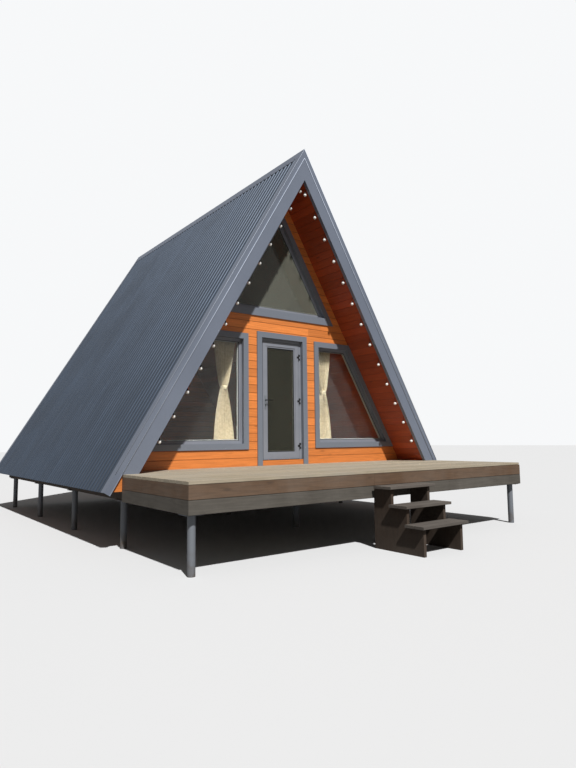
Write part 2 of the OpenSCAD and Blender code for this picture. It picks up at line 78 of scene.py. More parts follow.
def high(node):
    """The highest corner of a CAD node."""
    return Vector(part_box(node)[1])


def span(node, axis="y"):
    """The lowest and highest coordinate of a CAD node on an axis."""
    return getattr(low(node), axis), getattr(high(node), axis)


def points(node):
    """Places of the vertices of a CAD node."""
    return [v.co.copy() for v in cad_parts[node].data.vertices]


# Levels, planes and slopes, read from the frame
DECK_Z = high("deck_floor").z
VERGE_Y, BACK_VERGE_Y = span("ridge_cap")
WALL_Y, WALL_BACK_Y = span("front_head_wall")
BACK_WALL_Y, BACK_FACE_Y = span("back_wall")
RIDGE_Z = high("ridge_cap").z
TAN = high("front_fascia_right").x / (high("front_fascia_right").z - DECK_Z)
HALF_ANGLE = math.atan(TAN)
COS = math.cos(HALF_ANGLE)
SIN = math.sin(HALF_ANGLE)


def apex_z(depth):
    """Height at which a plane at a depth below the roof's outer face meets the ridge."""
    return RIDGE_Z - depth / SIN


def slope_x(depth, z):
    """Half width inside the roof, at a depth below its outer face and a height."""
    return (apex_z(depth) - z) * TAN


def depth_at(x, z):
    """Depth below the roof's outer face of a point on the right-hand side."""
    return (RIDGE_Z - z - x / TAN) * SIN


def slope_axes(side):
    """Directions down a slope, out of it and along it, for side -1 on the left or 1."""
    down = Vector((side * SIN, 0, -COS))
    out = Vector((side * COS, 0, SIN))
    return down, out, down.cross(out)


LINING_DEPTH = depth_at(high("roof_lining_right").x, DECK_Z)
INNER_DEPTH = depth_at(high("front_rafter_right").x, DECK_Z)
WINDOW_LOW, WINDOW_HIGH = span("window_frames", "z")
WINDOW_IN = high("front_piers").x
WINDOW_DEPTH = depth_at(high("window_frames").x, WINDOW_LOW)
UPPER_LOW = low("upper_frame").z
UPPER_DEPTH = depth_at(high("upper_frame").x, UPPER_LOW)
DOOR_HALF = high("door_frame").x
DOOR_TOP = high("door_frame").z
BACK_WINDOW_LOW = low("back_frames").z
BACK_HALF = max(p.x for p in points("back_frames") if p.z < WINDOW_HIGH)


def box_outline(left, right, bottom, top):
    """A rectangle in X and Z, counterclockwise."""
    return [(left, bottom), (right, bottom), (right, top), (left, top)]


# Outlines of the frames in the gables, in X and Z
RIGHT_WINDOW = [(WINDOW_IN, WINDOW_LOW), (slope_x(WINDOW_DEPTH, WINDOW_LOW), WINDOW_LOW),
                (slope_x(WINDOW_DEPTH, WINDOW_HIGH), WINDOW_HIGH), (WINDOW_IN, WINDOW_HIGH)]
LEFT_WINDOW = [(-x, z) for x, z in reversed(RIGHT_WINDOW)]
UPPER_WINDOW = [(-slope_x(UPPER_DEPTH, UPPER_LOW), UPPER_LOW),
                (slope_x(UPPER_DEPTH, UPPER_LOW), UPPER_LOW), (0.0, apex_z(UPPER_DEPTH))]
BACK_WINDOW = box_outline(-BACK_HALF, BACK_HALF, BACK_WINDOW_LOW, WINDOW_HIGH)


def linear(*srgb):
    """A colour given as 0 to 255 in each channel, as the shader nodes take it."""
    parts = [c / 255 for c in srgb]
    return tuple(c / 12.92 if c < 0.04045 else ((c + 0.055) / 1.055) ** 2.4 for c in parts)


def length(name, text, value):
    """A setting that holds a length."""
    return FloatProperty(name=name, description=text, default=value, unit="LENGTH")


def number(name, text, value):
    """A setting that holds a whole number."""
    return IntProperty(name=name, description=text, default=value)


def tint(name, text, *srgb):
    """A setting that holds a colour, given as 0 to 255 in each channel."""
    return FloatVectorProperty(
        name=name, description=text, subtype="COLOR", size=3, default=linear(*srgb))


class CabinBoardSettings(bpy.types.PropertyGroup):
    """Sizes of the boards that clad the cabin."""

    cover: length("Cladding cover", "Height that one gable board covers", 0.132)
    lining_cover: length("Lining cover", "Width that one board under the roof covers", 0.132)
    groove: length("Groove", "Depth of the V groove between two boards", 0.0055)
    deck_cover: length("Deck board pitch", "Distance from one deck board to the next", 0.148)
    deck_gap: length("Deck gap", "Gap between two deck boards", 0.006)
    deck_t: length("Deck board thickness", "Thickness of the deck boards and treads", 0.034)
    edge: length("Board edge", "Size of the eased edges of the deck boards", 0.004)
    seed: number("Board seed", "Seed of the differences between boards", 7)


class CabinFinishSettings(bpy.types.PropertyGroup):
    """Colours of the finishes."""

    stain: tint("Wood stain", "Stained boards of the gables", 240, 141, 69)
    # Colour of the boards under the roof: the gable stain made darker and redder, as painted shade
    soffit_painted_shade: tint("Soffit stain", "Stained boards under the roof", 180, 76, 35)
    deck: tint("Deck boards", "Weathered boards of the deck and porch", 174, 160, 136)
    tread: tint("Treads", "Grey-brown planks of the steps", 95, 87, 80)
    timber: tint("Rim timber", "Rim boards, joists and stringers", 106, 80, 58)
    beam: tint("Beams", "Greyed beams below the rim boards", 84, 78, 70)
    roof: tint("Roof sheet", "Coated ribbed sheet", 56, 67, 82)
    verge: tint("Verge metal", "Flashings, fascia and ridge cap", 116, 123, 137)
    casing: tint("Casings", "Casing boards round doors and windows", 115, 121, 131)
    profile: tint("Window profiles", "Window and door frames and the door leaf", 126, 129, 137)
    steel: tint("Pile steel", "Primed steel piles", 128, 132, 138)
    cloth: tint("Curtain cloth", "Cream cloth of the curtains", 228, 214, 186)


class CabinFittingSettings(bpy.types.PropertyGroup):
    """Sizes of lamps, hardware, seals and fasteners."""

    frame_face: length("Frame face", "Width of a window frame, seen from the front", 0.062)
    seal: length("Seal", "Width of the black seal along a pane", 0.008)
    spacer: length("Spacer", "Width of the metal spacer between the sheets of a pane", 0.012)
    door_seal: length("Door seal", "Width of the black seal round the door's pane", 0.016)
    door_spacer: length("Door spacer", "Width of the spacer that shows inside the door's seal", 0.004)
    lamp_pitch: length("Lamp spacing", "Distance between two lamps along the verge", 0.401)
    lamp_first: length("First lamp", "Distance of the first lamp from the ridge along the slope", 0.666)
    lamp_shift: length("Lamp shift", "How much lower the row on the right starts than the middle", 0.021)
    lamp_count: number("Lamps", "Number of lamps on each side", 13)
    lamp_drop: length("Lamp drop", "Distance of a globe's middle below the boards", 0.12)
    globe: length("Globe", "Radius of a lamp's globe", 0.025)
    rib_pitch: length("Rib spacing", "Distance between two ribs of the roof sheet", 0.115)
    curtain_width: length("Curtain width", "Width that each curtain was cut to", 1.15)
    pleats: number("Pleats", "Number of folds across a curtain", 7)


# Node building

class Kit:
    """The shader groups and finishes, filled by the finishes operator."""

    groups = {}
    finishes = {}


class Graph:
    """A node tree, with short calls for the nodes that are used most."""

    def __init__(self, tree):
        self.tree = tree

    def fill(self, socket, value):
        """Connects a socket or sets its value. A colour may have three parts."""
        if isinstance(value, bpy.types.NodeSocket):
            self.tree.links.new(value, socket)
        elif socket.type == "RGBA":
            socket.default_value = (*value, 1.0)[:4]
        else:
            socket.default_value = value

    def add(self, kind, inputs=None, **settings):
        """Adds a node. inputs holds values or sockets by name or number."""
        new = self.tree.nodes.new(kind)
        for key, value in settings.items():
            setattr(new, key, value)
        for key, value in (inputs or {}).items():
            self.fill(new.inputs[key], value)
        return new

    def out(self, kind, inputs=None, **settings):
        """Adds a node and gives its first output."""
        return self.add(kind, inputs, **settings).outputs[0]

    def calc(self, operation, a, b=0.5, clamp=False):
        """A Math node, for two values or sockets."""
        return self.out("ShaderNodeMath", {0: a, 1: b}, operation=operation, use_clamp=clamp)

    def times(self, a, b):
        """The product of two values or sockets."""
        return self.calc("MULTIPLY", a, b)

    def plus(self, a, b):
        """The sum of two values or sockets."""
        return self.calc("ADD", a, b)

    def xyz(self, x=0.0, y=0.0, z=0.0):
        """A vector from three values or sockets."""
        return self.out("ShaderNodeCombineXYZ", {0: x, 1: y, 2: z})

    def parts(self, vector):
        """The three parts of a vector."""
        return self.add("ShaderNodeSeparateXYZ", {0: vector}).outputs

    def mix(self, factor, a, b, blend="MIX"):
        """A mix of two colours."""
        return self.add("ShaderNodeMix", {0: factor, 6: a, 7: b}, data_type="RGBA",
                        blend_type=blend).outputs[2]

    def stretched(self, vector, *scale):
        """Coordinates scaled by axis."""
        return self.out("ShaderNodeMapping", {"Vector": vector, "Scale": scale})

    def noise(self, vector, scale, detail=3.0, roughness=0.55, distortion=0.0):
        """A noise texture's value."""
        return self.out("ShaderNodeTexNoise", {
            "Vector": vector, "Scale": scale, "Detail": detail,
            "Roughness": roughness, "Distortion": distortion})

    def cells(self, vector, scale, randomness):
        """Distance from the middle of the nearest cell."""
        return self.out("ShaderNodeTexVoronoi", {
            "Vector": vector, "Scale": scale, "Randomness": randomness})

    def ramp(self, value, start, end, low_value=0.0, high_value=1.0):
        """Spreads a value so that start gives the low value and end the high one."""
        return self.out("ShaderNodeMapRange", {
            "Value": value, "From Min": start, "From Max": end,
            "To Min": low_value, "To Max": high_value}, clamp=True)


SOCKETS = {float: "NodeSocketFloat", int: "NodeSocketInt", tuple: "NodeSocketVector",
           type(None): "NodeSocketMaterial"}


class Group(Graph):
    """A node group whose inputs have names and values, None for a material."""

    def __init__(self, kind, name, inputs, outputs, output_kind):
        super().__init__(bpy.data.node_groups.new(name, kind))
        interface = self.tree.interface
        for label, value in inputs.items():
            socket = interface.new_socket(label, in_out="INPUT", socket_type=SOCKETS[type(value)])
            if value is not None:
                socket.default_value = value
        for label in outputs:
            interface.new_socket(label, in_out="OUTPUT", socket_type=output_kind)
        self.given = self.tree.nodes.new("NodeGroupInput").outputs
        self.result = self.tree.nodes.new("NodeGroupOutput").inputs

    def __getitem__(self, label):
        """An input of the group, by its name."""
        return self.given[label]

    def give(self, **outputs):
        """Connects the group's outputs and returns its tree."""
        for label, socket in outputs.items():
            self.fill(self.result[label], socket)
        return self.tree


def effect_group(name, inputs, *outputs):
    """A shader group that puts out values."""
    return Group("ShaderNodeTree", name, inputs, outputs, "NodeSocketFloat")


def grain_group():
    """Wood grain along X: Tone is its light and dark, Fibre its fine relief, Knot its knots."""
    tree = effect_group("Wood grain", {"Vector": (0, 0, 0), "Shade": 0.0}, "Tone", "Fibre", "Knot")
    shift = tree.xyz(*(tree.times(tree["Shade"], reach) for reach in (37.0, 11.0, 23.0)))
    place = tree.out("ShaderNodeVectorMath", {0: tree["Vector"], 1: shift}, operation="ADD")
    wander = tree.noise(tree.stretched(place, 0.3, 5.0, 5.0), 2.4, 2.0)
    rings = tree.calc("SINE", tree.times(wander, 48.0))
    fibre = tree.noise(tree.stretched(place, 2.0, 160.0, 160.0), 1.6, 4.0, 0.65)
    knots = tree.cells(tree.stretched(place, 1.4, 4.5, 4.5), 1.0, 1.0)
    tone = tree.plus(tree.times(rings, 0.13), tree.times(fibre, 0.9))
    return tree.give(Tone=tree.calc("ADD", tone, 0.02, True), Fibre=fibre,
                     Knot=tree.ramp(knots, 0.10, 0.035))


def weather_group():
    """Dirt and fading in soft patches. Patch is broad, Speck is fine."""
    tree = effect_group("Weather", {"Vector": (0, 0, 0), "Scale": 1.0}, "Patch", "Speck")
    broad = tree.noise(tree["Vector"], tree["Scale"], 5.0, 0.6, 0.4)
    fine = tree.noise(tree["Vector"], tree.times(tree["Scale"], 34.0), 3.0, 0.6)
    return tree.give(Patch=tree.ramp(broad, 0.35, 0.68), Speck=tree.ramp(fine, 0.42, 0.72))


class Finish(Graph):
    """A new material's tree, with its Principled node and the object's own coordinates."""

    def __init__(self, name):
        material = bpy.data.materials.new(name)
        material.use_nodes = True
        super().__init__(material.node_tree)
        self.surface = next(n for n in self.tree.nodes if n.type == "BSDF_PRINCIPLED")
        self.place = self.add("ShaderNodeTexCoord").outputs["Object"]
        Kit.finishes[name] = material

    def effect(self, group, vector, **inputs):
        """The outputs of a shared shader group, in their order."""
        inputs["Vector"] = vector
        return tuple(self.add("ShaderNodeGroup", inputs, node_tree=Kit.groups[group]).outputs)

    def weather(self, scale):
        """Patches and specks of dirt."""
        return self.effect("weather", self.place, Scale=scale)

    def attribute(self, name):
        """A value stored on the mesh."""
        return self.add("ShaderNodeAttribute", attribute_name=name).outputs["Fac"]

    def bump(self, height, strength, distance):
        """A bump normal from a height."""
        return self.out("ShaderNodeBump", {
            "Height": height, "Strength": strength, "Distance": distance})

    def feed(self, **inputs):
        """Connects or sets inputs of the Principled node, such as Base_Color."""
        for label, value in inputs.items():
            self.fill(self.surface.inputs[label.replace("_", " ")], value)


# Finishes

def scaled(colour, factor):
    """The same colour, lighter or darker."""
    return tuple(min(1.0, c * factor) for c in colour)


GRAIN_ORDERS = {"X": (0, 1, 2), "Y": (1, 0, 2), "Z": (2, 1, 0)}


def turned(look, along):
    """Coordinates with the grain's direction brought to X."""
    parts = look.parts(look.place)
    return look.xyz(*(parts[axis] for axis in GRAIN_ORDERS[along]))


def rim_place(look):
    """Grain along X on faces that look to the front or back, and along Y elsewhere."""
    normal = look.add("ShaderNodeNewGeometry").outputs["Normal"]
    facing = look.calc("ABSOLUTE", look.parts(normal)[1])
    return look.add("ShaderNodeMix", {
        0: look.calc("GREATER_THAN", facing, 0.7), 4: turned(look, "Y"), 5: look.place},
        data_type="VECTOR").outputs[1]


def wood(name, colour, along, darkest, roughness, coat=0.0, grey=0.0, relief=0.0006):
    """Stained or weathered wood. grey is how much of it has faded to silver."""
    look = Finish(name)
    shade = look.attribute("shade")
    line = rim_place(look) if along == "RIM" else turned(look, along)
    tone, fibre, knot = look.effect("grain", line, Shade=shade)
    patch, speck = look.weather(1.3)
    board = look.ramp(shade, 0.0, 1.0, 0.80, 1.10)
    body = look.mix(tone, scaled(colour, darkest), scaled(colour, 1.18))
    light = look.out("ShaderNodeCombineColor", {0: board, 1: board, 2: board})
    body = look.mix(1.0, body, light, "MULTIPLY")
    # The joint mask darkens the faces in the grooves and eased edges between boards: dirt and painted
    # shade
    for mask, strength, over in (
            (knot, 0.6, scaled(colour, 0.34)), (patch, grey, linear(168, 163, 154)),
            (speck, 0.12, scaled(colour, 0.45)),
            (look.attribute("joint"), 0.6, scaled(colour, 0.25))):
        body = look.mix(look.times(mask, strength), body, over)
    look.feed(Base_Color=body, Roughness=look.plus(look.times(fibre, 0.18), roughness - 0.09),
              Coat_Weight=coat, Coat_Roughness=0.35, Normal=look.bump(fibre, 0.5, relief))


def coated_metal(name, colour, roughness, metallic, streaks):
    """Coated sheet metal with faint runs of dust down its slope."""
    look = Finish(name)
    patch, speck = look.weather(0.9)
    runs = look.ramp(look.noise(look.stretched(look.place, 0.5, 26.0, 0.35), 1.0, 4.0, 0.6), 0.45, 0.8)
    dust = look.times(look.plus(look.times(patch, 0.4), runs), streaks)
    body = look.mix(dust, colour, scaled(colour, 2.1))
    body = look.mix(look.times(speck, 0.15), body, scaled(colour, 0.7))
    look.feed(Base_Color=body, Roughness=look.plus(look.times(patch, 0.12), roughness),
              Metallic=metallic, Normal=look.bump(look.noise(look.place, 5.0, 2.0), 0.25, 0.004))


def foil_plastic(name, colour):
    """Window profiles in a fine-grained foil outside, plain white towards the room."""
    look = Finish(name)
    depth = look.parts(look.place)[1]
    inside = look.times(look.calc("GREATER_THAN", depth, sum(span("window_panes")) / 2),
                        look.calc("LESS_THAN", depth, sum(span("back_panes")) / 2))
    grain = look.noise(look.stretched(look.place, 90.0, 90.0, 9.0), 6.0, 3.0)
    patch, _ = look.weather(3.0)
    body = look.mix(look.times(patch, 0.25), colour, scaled(colour, 1.5))
    body = look.mix(inside, body, linear(226, 226, 222))
    look.feed(Base_Color=body, Roughness=look.plus(look.times(patch, 0.12), 0.36),
              Normal=look.bump(grain, 0.2, 0.0004))


def hazy_glass(name, haze, clear):
    """Glazing with a film of dust. clear is the share of light that it lets through."""
    look = Finish(name)
    film = look.noise(look.stretched(look.place, 2.5, 2.5, 1.6), 1.0, 5.0, 0.65)
    body = look.mix(look.ramp(film, 0.3, 0.75), scaled(haze, 0.88), scaled(haze, 1.12))
    sunlight = look.add("ShaderNodeLightPath").outputs["Is Shadow Ray"]
    look.feed(Base_Color=body, Roughness=look.times(film, 0.03), IOR=1.45, Transmission_Weight=clear,
              Alpha=look.calc("SUBTRACT", 1.0, look.times(sunlight, clear * 0.95)))


def plain_coat(name, colour, roughness, metallic):
    """Small parts of coated metal, plastic or rubber."""
    look = Finish(name)
    grit = look.noise(look.place, 420.0, 2.0)
    look.feed(Base_Color=look.mix(grit, scaled(colour, 0.8), scaled(colour, 1.3)),
              Roughness=look.plus(look.times(grit, 0.15), roughness), Metallic=metallic,
              Normal=look.bump(grit, 0.15, 0.0003))


def primed_steel(name, colour):
    """Grey primed steel with splashes of soil near the ground."""
    look = Finish(name)
    patch, speck = look.weather(6.0)
    soil = look.times(look.ramp(look.parts(look.place)[2], 0.28, 0.0), patch)
    body = look.mix(look.times(speck, 0.3), colour, scaled(colour, 0.7))
    look.feed(Base_Color=look.mix(soil, body, linear(96, 78, 58)), Roughness=0.5, Metallic=0.25,
              Normal=look.bump(speck, 0.2, 0.001))


def curtain_cloth(name, colour):
    """Cream cloth with a scattered openwork pattern."""
    look = Finish(name)
    weave = look.add("ShaderNodeTexWave", {"Vector": look.place, "Scale": 900.0, "Distortion": 0.4},
                     wave_type="BANDS", bands_direction="Z").outputs[1]
    slub = look.noise(look.stretched(look.place, 60.0, 60.0, 900.0), 1.0, 3.0)
    motif = look.cells(look.stretched(look.place, 1.0, 0.6, 1.0), 26.0, 0.8)
    body = look.mix(slub, scaled(colour, 0.86), scaled(colour, 1.08))
    body = look.mix(look.times(look.ramp(motif, 0.36, 0.62), 0.3), body, scaled(colour, 0.45))
    look.feed(Base_Color=body, Roughness=0.85, Sheen_Weight=0.25,
              Normal=look.bump(look.plus(weave, slub), 0.3, 0.0004))


def lamp_globe(name):
    """Opal white globes."""
    look = Finish(name)
    body = look.mix(look.noise(look.place, 60.0, 2.0), linear(236, 234, 228), linear(252, 251, 247))
    look.feed(Base_Color=body, Roughness=0.25, Coat_Weight=0.4, Coat_Roughness=0.05)


# The finish of each CAD node
NODE_FINISHES = {
    "deck_wood": ("deck_floor",),
    "tread_wood": ("stair_treads",),
    "floor_wood": ("house_floor",),
    "rim_wood": ("floor_frame", "deck_frame"),
    "beam_wood": ("side_beams", "deck_beams", "cross_beams"),
    "stringer_wood": ("stair_stringers",),
    "pile_steel": ("deck_piles", "house_piles"),
    "soffit_wood": ("roof_lining_left", "roof_lining_right"),
    "gable_wood": ("front_rafter_left", "front_rafter_right", "front_sills", "front_piers",
                   "front_head_wall", "front_peak_wall", "back_wall", "loft_floor", "door_strip",
                   "roof_panel_left", "roof_panel_right"),
    "roof_metal": ("roof_sheet_left", "roof_sheet_right"),
    "verge_metal": ("ridge_cap", "front_flashings", "back_flashings", "front_fascia_left",
                    "front_fascia_right", "back_fascia_left", "back_fascia_right"),
    "casing_metal": ("window_casings", "upper_casing", "door_casing", "back_casings"),
    "profile_foil": ("window_frames", "upper_frame", "door_frame", "door_leaf", "back_frames"),
    "window_glass": ("window_panes", "back_panes"),
    "upper_glass": ("upper_pane",),
    "door_glass": ("door_pane",),
    "hinge_metal": ("hinge_plates", "door_hinges", "handle_plates", "door_handle"),
    "curtain_cloth": ("curtain_left", "curtain_right"),
}


class CABIN_OT_finishes(bpy.types.Operator):
    """Makes every finish and gives each carried-over piece its own"""

    bl_idname = "cabin.finishes"
    bl_label = "Finishes"

    def execute(self, context):
        tones = context.scene.cabin_finishes
        Kit.groups = {"grain": grain_group(), "weather": weather_group()}
        wood("gable_wood", tones.stain, "X", 0.62, 0.45, coat=0.15)
        # Painted shade: the boards under the roof take the darker, redder copy of the stain
        wood("soffit_wood", tones.soffit_painted_shade, "Y", 0.62, 0.5, coat=0.15)
        wood("deck_wood", tones.deck, "X", 0.6, 0.78, grey=0.35, relief=0.0012)
        wood("floor_wood", linear(176, 134, 92), "X", 0.7, 0.5, coat=0.2)
        wood("tread_wood", tones.tread, "X", 0.55, 0.75, grey=0.1, relief=0.0012)
        wood("rim_wood", tones.timber, "RIM", 0.5, 0.8, grey=0.12, relief=0.0015)
        wood("beam_wood", tones.beam, "RIM", 0.5, 0.8, grey=0.12, relief=0.0015)
        # Painted shade: the stringers take the rim timber darkened to 0.42, for the shade under the
        # treads
        wood("stringer_wood", scaled(tones.timber, 0.42), "Z", 0.5, 0.8, grey=0.1, relief=0.0015)
        coated_metal("roof_metal", tones.roof, 0.34, 0.35, 0.35)
        coated_metal("verge_metal", tones.verge, 0.42, 0.2, 0.10)
        coated_metal("casing_metal", tones.casing, 0.5, 0.1, 0.08)
        foil_plastic("profile_foil", tones.profile)
        hazy_glass("window_glass", linear(226, 226, 219), 0.985)
        hazy_glass("upper_glass", linear(132, 133, 121), 0.65)
        hazy_glass("door_glass", linear(98, 98, 82), 0.85)
        # The verge hems are light grey: a painted highlight along the folded edges
        plain_coat("bare_fold", linear(178, 186, 200), 0.5, 0.15)
        plain_coat("spacer_metal", linear(168, 171, 172), 0.4, 0.2)
        plain_coat("hinge_metal", linear(38, 38, 40), 0.4, 0.4)
        plain_coat("black_metal", linear(30, 30, 32), 0.3, 0.5)
        plain_coat("plate_metal", linear(134, 140, 145), 0.4, 0.5)
        plain_coat("rubber", linear(12, 12, 14), 0.6, 0.0)
        plain_coat("screw_steel", linear(120, 118, 112), 0.35, 0.8)
        plain_coat("roof_screw", scaled(tones.roof, 0.9), 0.35, 0.5)
        plain_coat("inner_white", linear(222, 220, 214), 0.4, 0.0)
        primed_steel("pile_steel", tones.steel)
        curtain_cloth("curtain_cloth", tones.cloth)
        lamp_globe("lamp_globe")
        for finish, nodes in NODE_FINISHES.items():
            for node in nodes:
                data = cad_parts[node].data
                data.materials.clear()
                data.materials.append(Kit.finishes[finish])
        return {"FINISHED"}


# Mesh helpers

def show(name, data):
    """An object at the origin that holds a mesh, a light or a camera."""
    piece = bpy.data.objects.new(name, data)
    bpy.context.scene.collection.objects.link(piece)
    return piece


def hand_over(piece, body, slot, *nodes):
    """Tells the frame which body a piece rides on and what it stands for. slot is not used."""
    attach(piece, body)
    if nodes:
        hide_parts(*nodes)
    return piece


def make_piece(name, bm, finish, smooth=False):
    """Turns a bmesh into an object, with its faces outwards."""
    bmesh.ops.recalc_face_normals(bm, faces=bm.faces)
    mesh = bpy.data.meshes.new(name)
    bm.to_mesh(mesh)
    bm.free()
    mesh.materials.append(Kit.finishes[finish])
    if smooth:
        mesh.polygons.foreach_set("use_smooth", [True] * len(mesh.polygons))
    return show(name, mesh)


def add_piece(name, bm, finish, body, slot, *nodes, smooth=False):
    """Turns a bmesh into a piece and hands it over."""
    return hand_over(make_piece(name, bm, finish, smooth), body, slot, *nodes)


def apply_modifiers(piece):
    """Bakes a piece's modifiers into a plain mesh."""
    graph = bpy.context.evaluated_depsgraph_get()
    mesh = bpy.data.meshes.new_from_object(piece.evaluated_get(graph))
    piece.modifiers.clear()
    old = piece.data
    piece.data = mesh
    bpy.data.meshes.remove(old)
    mesh.name = piece.name
    return piece


def join_meshes(name, pieces):
    """One object from several plain meshes."""
    bm = bmesh.new()
    materials = []
    for piece in pieces:
        start = len(bm.faces)
        bm.from_mesh(piece.data)
        bm.faces.ensure_lookup_table()
        materials += [m for m in piece.data.materials if m not in materials]
        slots = [materials.index(m) for m in piece.data.materials]
        for face in bm.faces[start:]:
            face.material_index = slots[face.material_index]
        bpy.data.meshes.remove(piece.data)  # its object goes with it
    mesh = bpy.data.meshes.new(name)
    bm.to_mesh(mesh)
    bm.free()
    for material in materials:
        mesh.materials.append(material)
    return show(name, mesh)


def band_faces(bm, loops):
    """Quads between each closed loop of vertices and the next."""
    for a, b in zip(loops, loops[1:]):
        for i in range(len(a)):
            j = (i + 1) % len(a)
            bm.faces.new((a[i], a[j], b[j], b[i]))


def ring_faces(bm, rings):
    """Joins rings of the same number of points with quads, and caps both ends."""
    loops = [[bm.verts.new(p) for p in ring] for ring in rings]
    band_faces(bm, loops)
    bm.faces.new(list(reversed(loops[0])))
    bm.faces.new(loops[-1])


def outline_ring(bm, outer, inner, y0, y1):
    """A flat ring between two outlines in X and Z, from y0 to y1."""
    loops = [[bm.verts.new((x, y, z)) for x, z in line]
             for line, y in ((outer, y0), (inner, y0), (inner, y1), (outer, y1))]
    band_faces(bm, loops + loops[:1])


def inset_outline(outline, distance):
    """A convex outline, counterclockwise, with each side moved inwards."""
    lines = []
    for i, point in enumerate(outline):
        a, b = Vector(point), Vector(outline[(i + 1) % len(outline)])
        along = (b - a).normalized()
        lines.append((a + Vector((-along.y, along.x)) * distance, along))
    corners = []
    for (p, d), (q, e) in zip(lines[-1:] + lines[:-1], lines):
        t = (q - p).cross(e) / d.cross(e)
        corners.append(tuple(p + d * t))
    return corners


def rounded_slab(bm, centre, half_w, half_h, y0, y1, radius, edge):
    """A plate with round corners in X and Z, from y0 to y1, with eased front edges."""
    steps = 5

    def outline(shrink, y):
        r = radius - shrink
        return [(centre[0] + sx * (half_w - radius) + r * math.cos(a), y,
                 centre[1] + sz * (half_h - radius) + r * math.sin(a))
                for quarter, (sx, sz) in enumerate(((1, 1), (-1, 1), (-1, -1), (1, -1)))
                for a in (math.pi / 2 * (quarter + k / steps) for k in range(steps + 1))]

    ring_faces(bm, [outline(edge, y0), outline(0, y0 + math.copysign(edge, y1 - y0)), outline(0, y1)])


def rod(bm, path, radius, sides=14):
    """A round bar along a path of points, with closed ends."""
    rings = []
    for i, point in enumerate(path):
        along = Vector(path[min(len(path) - 1, i + 1)]) - Vector(path[max(0, i - 1)])
        along.normalize()
        across = along.cross(Vector((0, 0, 1))).normalized()
        up = across.cross(along)
        rings.append([tuple(Vector(point) + radius * (math.cos(a) * across + math.sin(a) * up))
                      for a in (2 * math.pi * k / sides for k in range(sides))])
    ring_faces(bm, rings)


def board_bmesh():
    """An empty bmesh that stores each board's shade and its joints on faces."""
    bm = bmesh.new()
    bm.faces.layers.float.new("shade")
    bm.faces.layers.float.new("joint")
    return bm


def board_faces(bm, rings, shade, in_joint):
    """Adds a board. in_joint tells from a face's normal whether it lies in a joint."""
    first = len(bm.faces)
    ring_faces(bm, rings)
    bm.faces.ensure_lookup_table()
    layers = bm.faces.layers.float
    for face in bm.faces[first:]:
        face.normal_update()
        face[layers["shade"]] = shade
        face[layers["joint"]] = 1.0 if in_joint(face.normal) else 0.0


# Geometry Nodes building

class Assembly(Group):
    """A geometry group, with short calls for the nodes that repeat in it."""

    def __init__(self, name, inputs):
        super().__init__("GeometryNodeTree", name, inputs, ("Geometry",), "NodeSocketGeometry")

    def join(self, *pieces):
        """Several geometries as one."""
        joined = self.add("GeometryNodeJoinGeometry")
        for piece in pieces:
            self.tree.links.new(piece, joined.inputs[0])
        return joined.outputs[0]

    def cylinder(self, sides, radius, depth):
        """A closed cylinder about the middle."""
        return self.out("GeometryNodeMeshCylinder", {
            "Vertices": sides, "Radius": radius, "Depth": depth}, fill_type="NGON")

    def moved(self, geometry, height):
        """Geometry moved along Z."""
        return self.out("GeometryNodeTransform", {
            "Geometry": geometry, "Translation": self.xyz(z=height)})

    def row(self, count, step, start=(0, 0, 0)):
        """Points in a line."""
        return self.out("GeometryNodeMeshLine", {
            "Count": count, "Start Location": start, "Offset": step}, mode="OFFSET")

    def copies(self, spots, instance):
        """An instance on every point."""
        return self.out("GeometryNodeInstanceOnPoints", {"Points": spots, "Instance": instance})

    def real(self, instances):
        """Instances turned into a mesh."""
        return self.out("GeometryNodeRealizeInstances", {0: instances})

    def painted(self, geometry, label="Material"):
        """Geometry with the material of an input."""
        return self.out("GeometryNodeSetMaterial", {
            "Geometry": geometry, "Material": self[label]})

    def stored(self, geometry, name, value, domain):
        """Geometry with a value stored under a name."""
        return self.out("GeometryNodeStoreNamedAttribute", {
            "Geometry": geometry, "Name": name, "Value": value}, data_type="FLOAT", domain=domain)

    def chance(self, seed):
        """A random value from 0 to 1 for each instance."""
        return self.add("FunctionNodeRandomValue", {2: 0.0, 3: 1.0, "Seed": seed},
                        data_type="FLOAT").outputs[1]

    def placed(self, instances):
        """Gives the instances as a mesh, turned and placed, and returns the tree."""
        return self.give(Geometry=self.painted(self.out("GeometryNodeTransform", {
            "Geometry": self.real(instances), "Rotation": self["Turn"],
            "Translation": self["Place"]})))


def bake_tree(name, tree, values):
    """Runs a tree with the given inputs and returns its result as a plain object."""
    piece = show(name, bpy.data.meshes.new(name))
    modifier = piece.modifiers.new("Build", "NODES")
    modifier.node_group = tree
    for item in tree.interface.items_tree:
        if item.in_out == "INPUT" and item.name in values:
            modifier[item.identifier] = values[item.name]
    return apply_modifiers(piece)


def standing(columns, origin):
    """Inputs that turn and place a tree's result, from its three axes and its origin."""
    return {"Turn": tuple(Matrix(columns).transposed().to_euler()), "Place": tuple(origin)}


